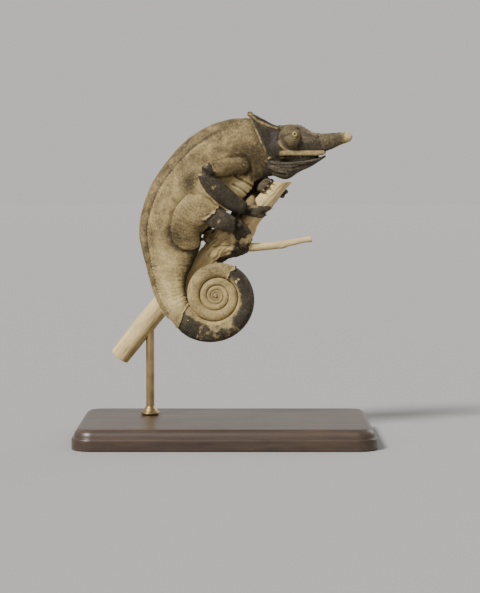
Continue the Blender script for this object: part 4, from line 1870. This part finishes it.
def build_stand(wood, metal):
    low, high = (np.array(corner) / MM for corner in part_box("stand_base"))
    rings = np.stack([base_ring(low, high, inward, height) for inward, height in BASE_EDGE])
    base = make_object("stand_base_moulded", *closed_grid(rings))
    keep_edges_crisp(base)
    finish_piece(base, "stand_wood", wood, ["stand_base"])

    low, high = (np.array(corner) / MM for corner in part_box("stand_rod"))
    middle = (low + high) / 2
    collar = (high[0] - low[0]) / 2
    foot, top = low[2], high[2]
    profile = ((collar - 0.5, 0.0), (collar, 0.35), (collar, 1.0), (collar - 0.35, 1.35), (collar - 0.9, 1.5),
               (collar - 1.3, 2.3), (2.2, 3.1), (2.05, 3.5), (1.8, 3.55), (1.8, top - foot))
    angle = turns(40)
    rings = np.stack([vectors(middle[0] + r * np.cos(angle), middle[1] + r * np.sin(angle), foot + z)
                      for r, z in profile])
    rod = make_object("stand_rod_turned", *closed_grid(rings))
    keep_edges_crisp(rod)
    finish_piece(rod, "stand_metal", metal, ["stand_rod"])


def keep_edges_crisp(obj):
    """Rounds the sharp edges a little and shades them cleanly."""
    edge = obj.modifiers.new("edge", "BEVEL")
    edge.width = 0.12 * MM
    edge.segments = 2
    edge.limit_method = "ANGLE"
    apply_modifiers(obj)
    even = obj.modifiers.new("even", "WEIGHTED_NORMAL")
    even.keep_sharp = True
    apply_modifiers(obj)


# --- Finishes of the horn, eyes, claws, wood and metal ---
def eye_material():
    shine = {"Coat_Weight": 0.5, "Coat_Roughness": 0.04, "Specular_IOR_Level": 0.4}
    material, tree, shader = new_material("wet_eye", **shine)
    polar = attribute(tree, "polar")
    share = calc(tree, "DIVIDE", polar, 0.9)
    rays = noise_map(tree, object_place(tree), 0.12, 3.0, 0.7)
    share = calc(tree, "MULTIPLY_ADD", calc(tree, "SUBTRACT", rays, 0.5), 0.12, share)
    add_looks(tree, shader, ramp(tree, share, EYE_COLOURS), calc(tree, "MULTIPLY_ADD", rays, 0.1, 0.1))
    return material


def claw_material():
    """Dark horn at the root, clearer and paler at the edges and tip."""
    material, tree, shader = new_material("claw_horn", Coat_Weight=0.25, Coat_Roughness=0.25)
    grain = noise_map(tree, object_place(tree), 0.3, 2.0, 0.6)
    uneven = calc(tree, "MULTIPLY", calc(tree, "SUBTRACT", grain, 0.5), 0.3)
    share = calc(tree, "ADD", attribute(tree, "tip"), uneven)
    add_looks(tree, shader, ramp(tree, share, CLAW_COLOURS), calc(tree, "MULTIPLY_ADD", grain, 0.25, 0.25))
    return material


def wood_group():
    """Grain that runs along the wood: streaks, fine fibres, pores and stains."""
    tree, given, result = new_tree(
        "wood_grain", "ShaderNodeTree",
        (("Place", "Vector", None), ("Streak", "Float", 2.0), ("Stretch", "Float", 0.12),
         ("Stain", "Float", 0.3)),
        (("Level", "Float", None), ("Height", "Float", None)))
    squeezed = add_node(tree, "ShaderNodeCombineXYZ", {0: given["Stretch"], 1: 1.0, 2: 1.0})
    rolled = vector_calc(tree, "MULTIPLY", given["Place"], squeezed.outputs[0])
    rate = calc(tree, "DIVIDE", 1 / MM, given["Streak"])
    streak = add_node(tree, "ShaderNodeTexNoise", {
        "Vector": rolled, "Scale": rate, "Detail": 4.0, "Roughness": 0.6})
    fibre = add_node(tree, "ShaderNodeTexNoise", {
        "Vector": rolled, "Scale": calc(tree, "MULTIPLY", rate, 7.0), "Detail": 2.0, "Roughness": 0.7})
    stain = noise_map(tree, given["Place"], 9.0, 3.0, 0.6)
    level = calc(tree, "MULTIPLY_ADD", calc(tree, "SUBTRACT", streak, 0.5), 0.75, 0.56)
    level = calc(tree, "MULTIPLY_ADD", calc(tree, "SUBTRACT", fibre, 0.5), 0.5, level)
    level = calc(tree, "MULTIPLY_ADD", calc(tree, "SUBTRACT", stain, 0.5), given["Stain"], level)
    tree.links.new(level, result.inputs["Level"])
    tree.links.new(calc(tree, "ADD", streak, calc(tree, "MULTIPLY", fibre, 0.5)), result.inputs["Height"])
    return tree


def grain_in(tree, group, place, **values):
    node = add_node(tree, "ShaderNodeGroup", {"Place": place, **values}, node_tree=group)
    return node.outputs["Level"], node.outputs["Height"]


def weathered_wood(name, group, stops):
    """Pale weathered wood, dark in its cracks, with rings on its cut ends."""
    material, tree, shader = new_material(name, Specular_IOR_Level=0.3)
    level, height = grain_in(tree, group, attribute(tree, "along", "Vector"), Streak=1.6, Stain=0.5)
    level = calc(tree, "SUBTRACT", level, calc(tree, "MULTIPLY", attribute(tree, "crack"), 0.32))
    cut = attribute(tree, "cut")
    fresh_cut = noise_map(tree, object_place(tree), 0.7, 3.0, 0.7)
    level = calc(tree, "ADD", calc(tree, "MULTIPLY", level, calc(tree, "SUBTRACT", 1.0, cut)),
                 calc(tree, "MULTIPLY", fresh_cut, cut))
    bare, dark = ramp(tree, level, stops), ramp(tree, level, BARK_BROWN)
    colour = mix_colour(tree, attribute(tree, "bark"), bare, dark)
    add_looks(tree, shader, colour, calc(tree, "MULTIPLY_ADD", level, -0.15, 0.82))
    add_bump(tree, shader, height, 0.12, WOOD_BUMP)
    return material


BRANCH_WOOD = ((0.0, (0.07, 0.048, 0.022)), (0.25, (0.26, 0.186, 0.084)), (0.45, (0.48, 0.355, 0.168)),
               (0.7, (0.66, 0.5, 0.225)), (1.0, (0.78, 0.62, 0.3)))
TWIG_WOOD = ((0.0, (0.14, 0.1, 0.05)), (0.3, (0.36, 0.265, 0.13)), (0.55, (0.53, 0.4, 0.175)),
             (1.0, (0.7, 0.55, 0.27)))
BARK_BROWN = ((0.0, (0.01, 0.007, 0.005)), (0.45, (0.035, 0.025, 0.015)), (0.7, (0.09, 0.064, 0.037)),
              (1.0, (0.2, 0.15, 0.09)))
STAND_BROWN = ((0.0, (0.008, 0.005, 0.003)), (0.4, (0.028, 0.016, 0.009)), (0.65, (0.055, 0.031, 0.017)),
               (1.0, (0.1, 0.06, 0.034)))
BRASS = ((0.3, (0.3, 0.2, 0.09)), (0.6, (0.45, 0.32, 0.15)), (1.0, (0.52, 0.39, 0.2)))
EYE_COLOURS = ((0.0, (0.004, 0.003, 0.003)), (0.46, (0.006, 0.005, 0.004)), (0.54, (0.16, 0.09, 0.03)),
               (0.72, (0.09, 0.05, 0.02)), (1.0, (0.02, 0.014, 0.01)))
CLAW_COLOURS = ((0.0, (0.05, 0.036, 0.022)), (0.3, (0.24, 0.17, 0.095)), (0.55, (0.12, 0.085, 0.05)),
                (1.0, (0.012, 0.009, 0.007)))
FLOOR_GREY = ((0.0, (0.345, 0.337, 0.325)), (1.0, (0.358, 0.35, 0.338)))
WOOD_BUMP = 0.7  # strength of the grain's bump


def plain_wood(name, group, stops, rough, bump_depth, grain, **shine):
    """Wood or bark whose grain runs through the piece. rough is how much the grain adds, and to what."""
    material, tree, shader = new_material(name, **shine)
    level, height = grain_in(tree, group, object_place(tree), **grain)
    add_looks(tree, shader, ramp(tree, level, stops), calc(tree, "MULTIPLY_ADD", level, *rough))
    add_bump(tree, shader, height, bump_depth, WOOD_BUMP)
    return material


def bark_material(group):
    grain = {"Streak": 1.2, "Stretch": 0.6, "Stain": 0.4}
    return plain_wood("old_bark", group, BARK_BROWN, (-0.2, 0.95), 0.3, grain, Specular_IOR_Level=0.25)


def stand_wood_material(group):
    grain = {"Streak": 3.4, "Stretch": 0.07, "Stain": 0.25}
    return plain_wood("stained_stand_wood", group, STAND_BROWN, (-0.16, 0.5), 0.05, grain,
                      Coat_Weight=0.3, Coat_Roughness=0.3)


def stand_metal_material():
    material, tree, shader = new_material("brushed_brass", Metallic=1.0)
    place = vector_calc(tree, "MULTIPLY", object_place(tree), (1.0, 1.0, 14.0))
    lines = noise_map(tree, place, 0.6, 3.0, 0.6)
    dull = noise_map(tree, object_place(tree), 6.0, 3.0, 0.6)
    add_looks(tree, shader, ramp(tree, dull, BRASS), calc(tree, "MULTIPLY_ADD", lines, 0.22, 0.22))
    return material


# --- Studio ---
FRAME_CENTRE = (6.48, 62.0)  # x and z at the middle of the view
FRAME_HEIGHT = 256.2  # height of the view where the animal is
CAMERA_DISTANCE = 900.0
CAMERA_LIFT = math.radians(3.5)
SENSOR = 36.0
FLOOR_REACH = 6000.0
STUDIO_GREY = (0.62, 0.607, 0.587, 1.0)
# Distant soft lights: name, direction that the light comes from, softness and power.
LIGHTS = (("key", (-0.62, -0.7, 0.8), 0.22, 5.2), ("rim", (0.7, 0.8, 0.5), 0.5, 0.5))


def build_floor():
    """A wide round pale floor, a little paler towards its edge."""
    reach = np.concatenate([[120.0, 300.0], np.geomspace(600.0, FLOOR_REACH, 8)])
    sides = 48
    angle = turns(sides)
    rings = reach[:, None, None] * vectors(np.cos(angle), np.sin(angle), 0.0)
    points = np.concatenate([[(0.0, 0.0, 0.0)], rings.reshape(-1, 3)])
    faces = [[0, 1 + k, 1 + (k + 1) % sides] for k in range(sides)]
    faces += [[1 + i for i in face[::-1]] for face in grid_faces(len(rings), sides)]
    floor = make_object("floor", points, faces)
    material, tree, shader = new_material("pale_floor", Roughness=0.9, Specular_IOR_Level=0.15)
    place = object_place(tree)
    away = calc(tree, "DIVIDE", vector_calc(tree, "LENGTH", place), FLOOR_REACH * MM)
    cloud = noise_map(tree, place, 40.0, 3.0, 0.6)
    level = calc(tree, "MULTIPLY_ADD", cloud, 0.06, away)
    tree.links.new(ramp(tree, level, FLOOR_GREY), shader.inputs["Base Color"])
    floor.data.materials.append(material)


def build_studio():
    scene = bpy.context.scene
    camera = add_object("camera", bpy.data.cameras.new("camera"))
    back, lift = (CAMERA_DISTANCE * MM * f(CAMERA_LIFT) for f in (math.cos, math.sin))
    camera.location = (FRAME_CENTRE[0] * MM, -back, FRAME_CENTRE[1] * MM + lift)
    camera.rotation_euler = (math.pi / 2 - CAMERA_LIFT, 0.0, 0.0)
    camera.data.sensor_width = SENSOR
    camera.data.lens = SENSOR * CAMERA_DISTANCE / FRAME_HEIGHT
    scene.camera = camera
    for name, place, softness, power in LIGHTS:
        light = bpy.data.lights.new(name, "SUN")
        light.energy = power
        light.angle = softness
        add_object(name, light).rotation_euler = (-Vector(place)).to_track_quat("-Z", "Y").to_euler()
    world = bpy.data.worlds.new("studio")
    world.use_nodes = True
    scene.world = world
    background = world.node_tree.nodes["Background"]
    background.inputs["Color"].default_value = STUDIO_GREY
    background.inputs["Strength"].default_value = 1.0


# --- Everything ---
FLESH = [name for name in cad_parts
         if not name.startswith(("branch", "twig", "stand", "horn", "eyeball"))]
TAIL_SPLIT = 76.0  # place along the coil where the second piece of tail scales starts


def build_animal():
    body, survey = build_skin()
    skin = dress_skin(body, survey)
    hide = hide_group()
    skin_finish = hide_material("old_and_fresh_skin", hide, 0.12, 0.0, 0.16)
    scale_finish = hide_material("scales", hide, 0.0, 0.3, 0.0)
    finish_piece(skin, "pale_skin", skin_finish, FLESH)
    build_packed_scales(skin, scale_finish)
    rows = row_tree()
    start = TAIL_START + 0.3
    split = start + TAIL_SPLIT
    end = TAIL.length - 0.3
    for name, roots, slot, pointed, sides in (
        ("tail_scales", tail_roots(start, split), "pale_skin", False, 6),
        ("tail_coil_scales", tail_roots(split, end), "pale_skin", False, 6),
        ("crest_spines", crest_roots(), "pale_skin", True, 6),
        ("eyelid_scales", turret_roots(skin), "dark_skin", False, 6),
        ("lip_and_crest_scales", face_roots(skin), "dark_skin", False, 8),
        ("tubercles", tubercle_roots(), "pale_skin", False, 8),
    ):
        roots.grown(name, skin, rows, scale_finish, slot, pointed, sides)
    build_loose_skin(skin, skin_finish)
    build_horn(rows, scale_finish)
    build_eyeballs(eye_material())
    build_claws(claw_material())


def build_mount():
    grain = wood_group()
    branch = wooden_stick("branch_wood", BRANCH_TUBE, 112, KNOTS, CRACKS, 1.0, True, True, LEVEL_RUN)
    finish_piece(branch, "bark", weathered_wood("peeled_branch", grain, BRANCH_WOOD), ["branch"])
    twig = wooden_stick("twig_wood", TWIG_TUBE, 48, TWIG_KNOTS, (), 0.4, False, True)
    finish_piece(twig, "bark", weathered_wood("peeled_twig", grain, TWIG_WOOD), ["twig"])
    build_bark(bark_material(grain))
    build_stand(stand_wood_material(grain), stand_metal_material())


build_animal()
build_mount()
build_floor()
build_studio()
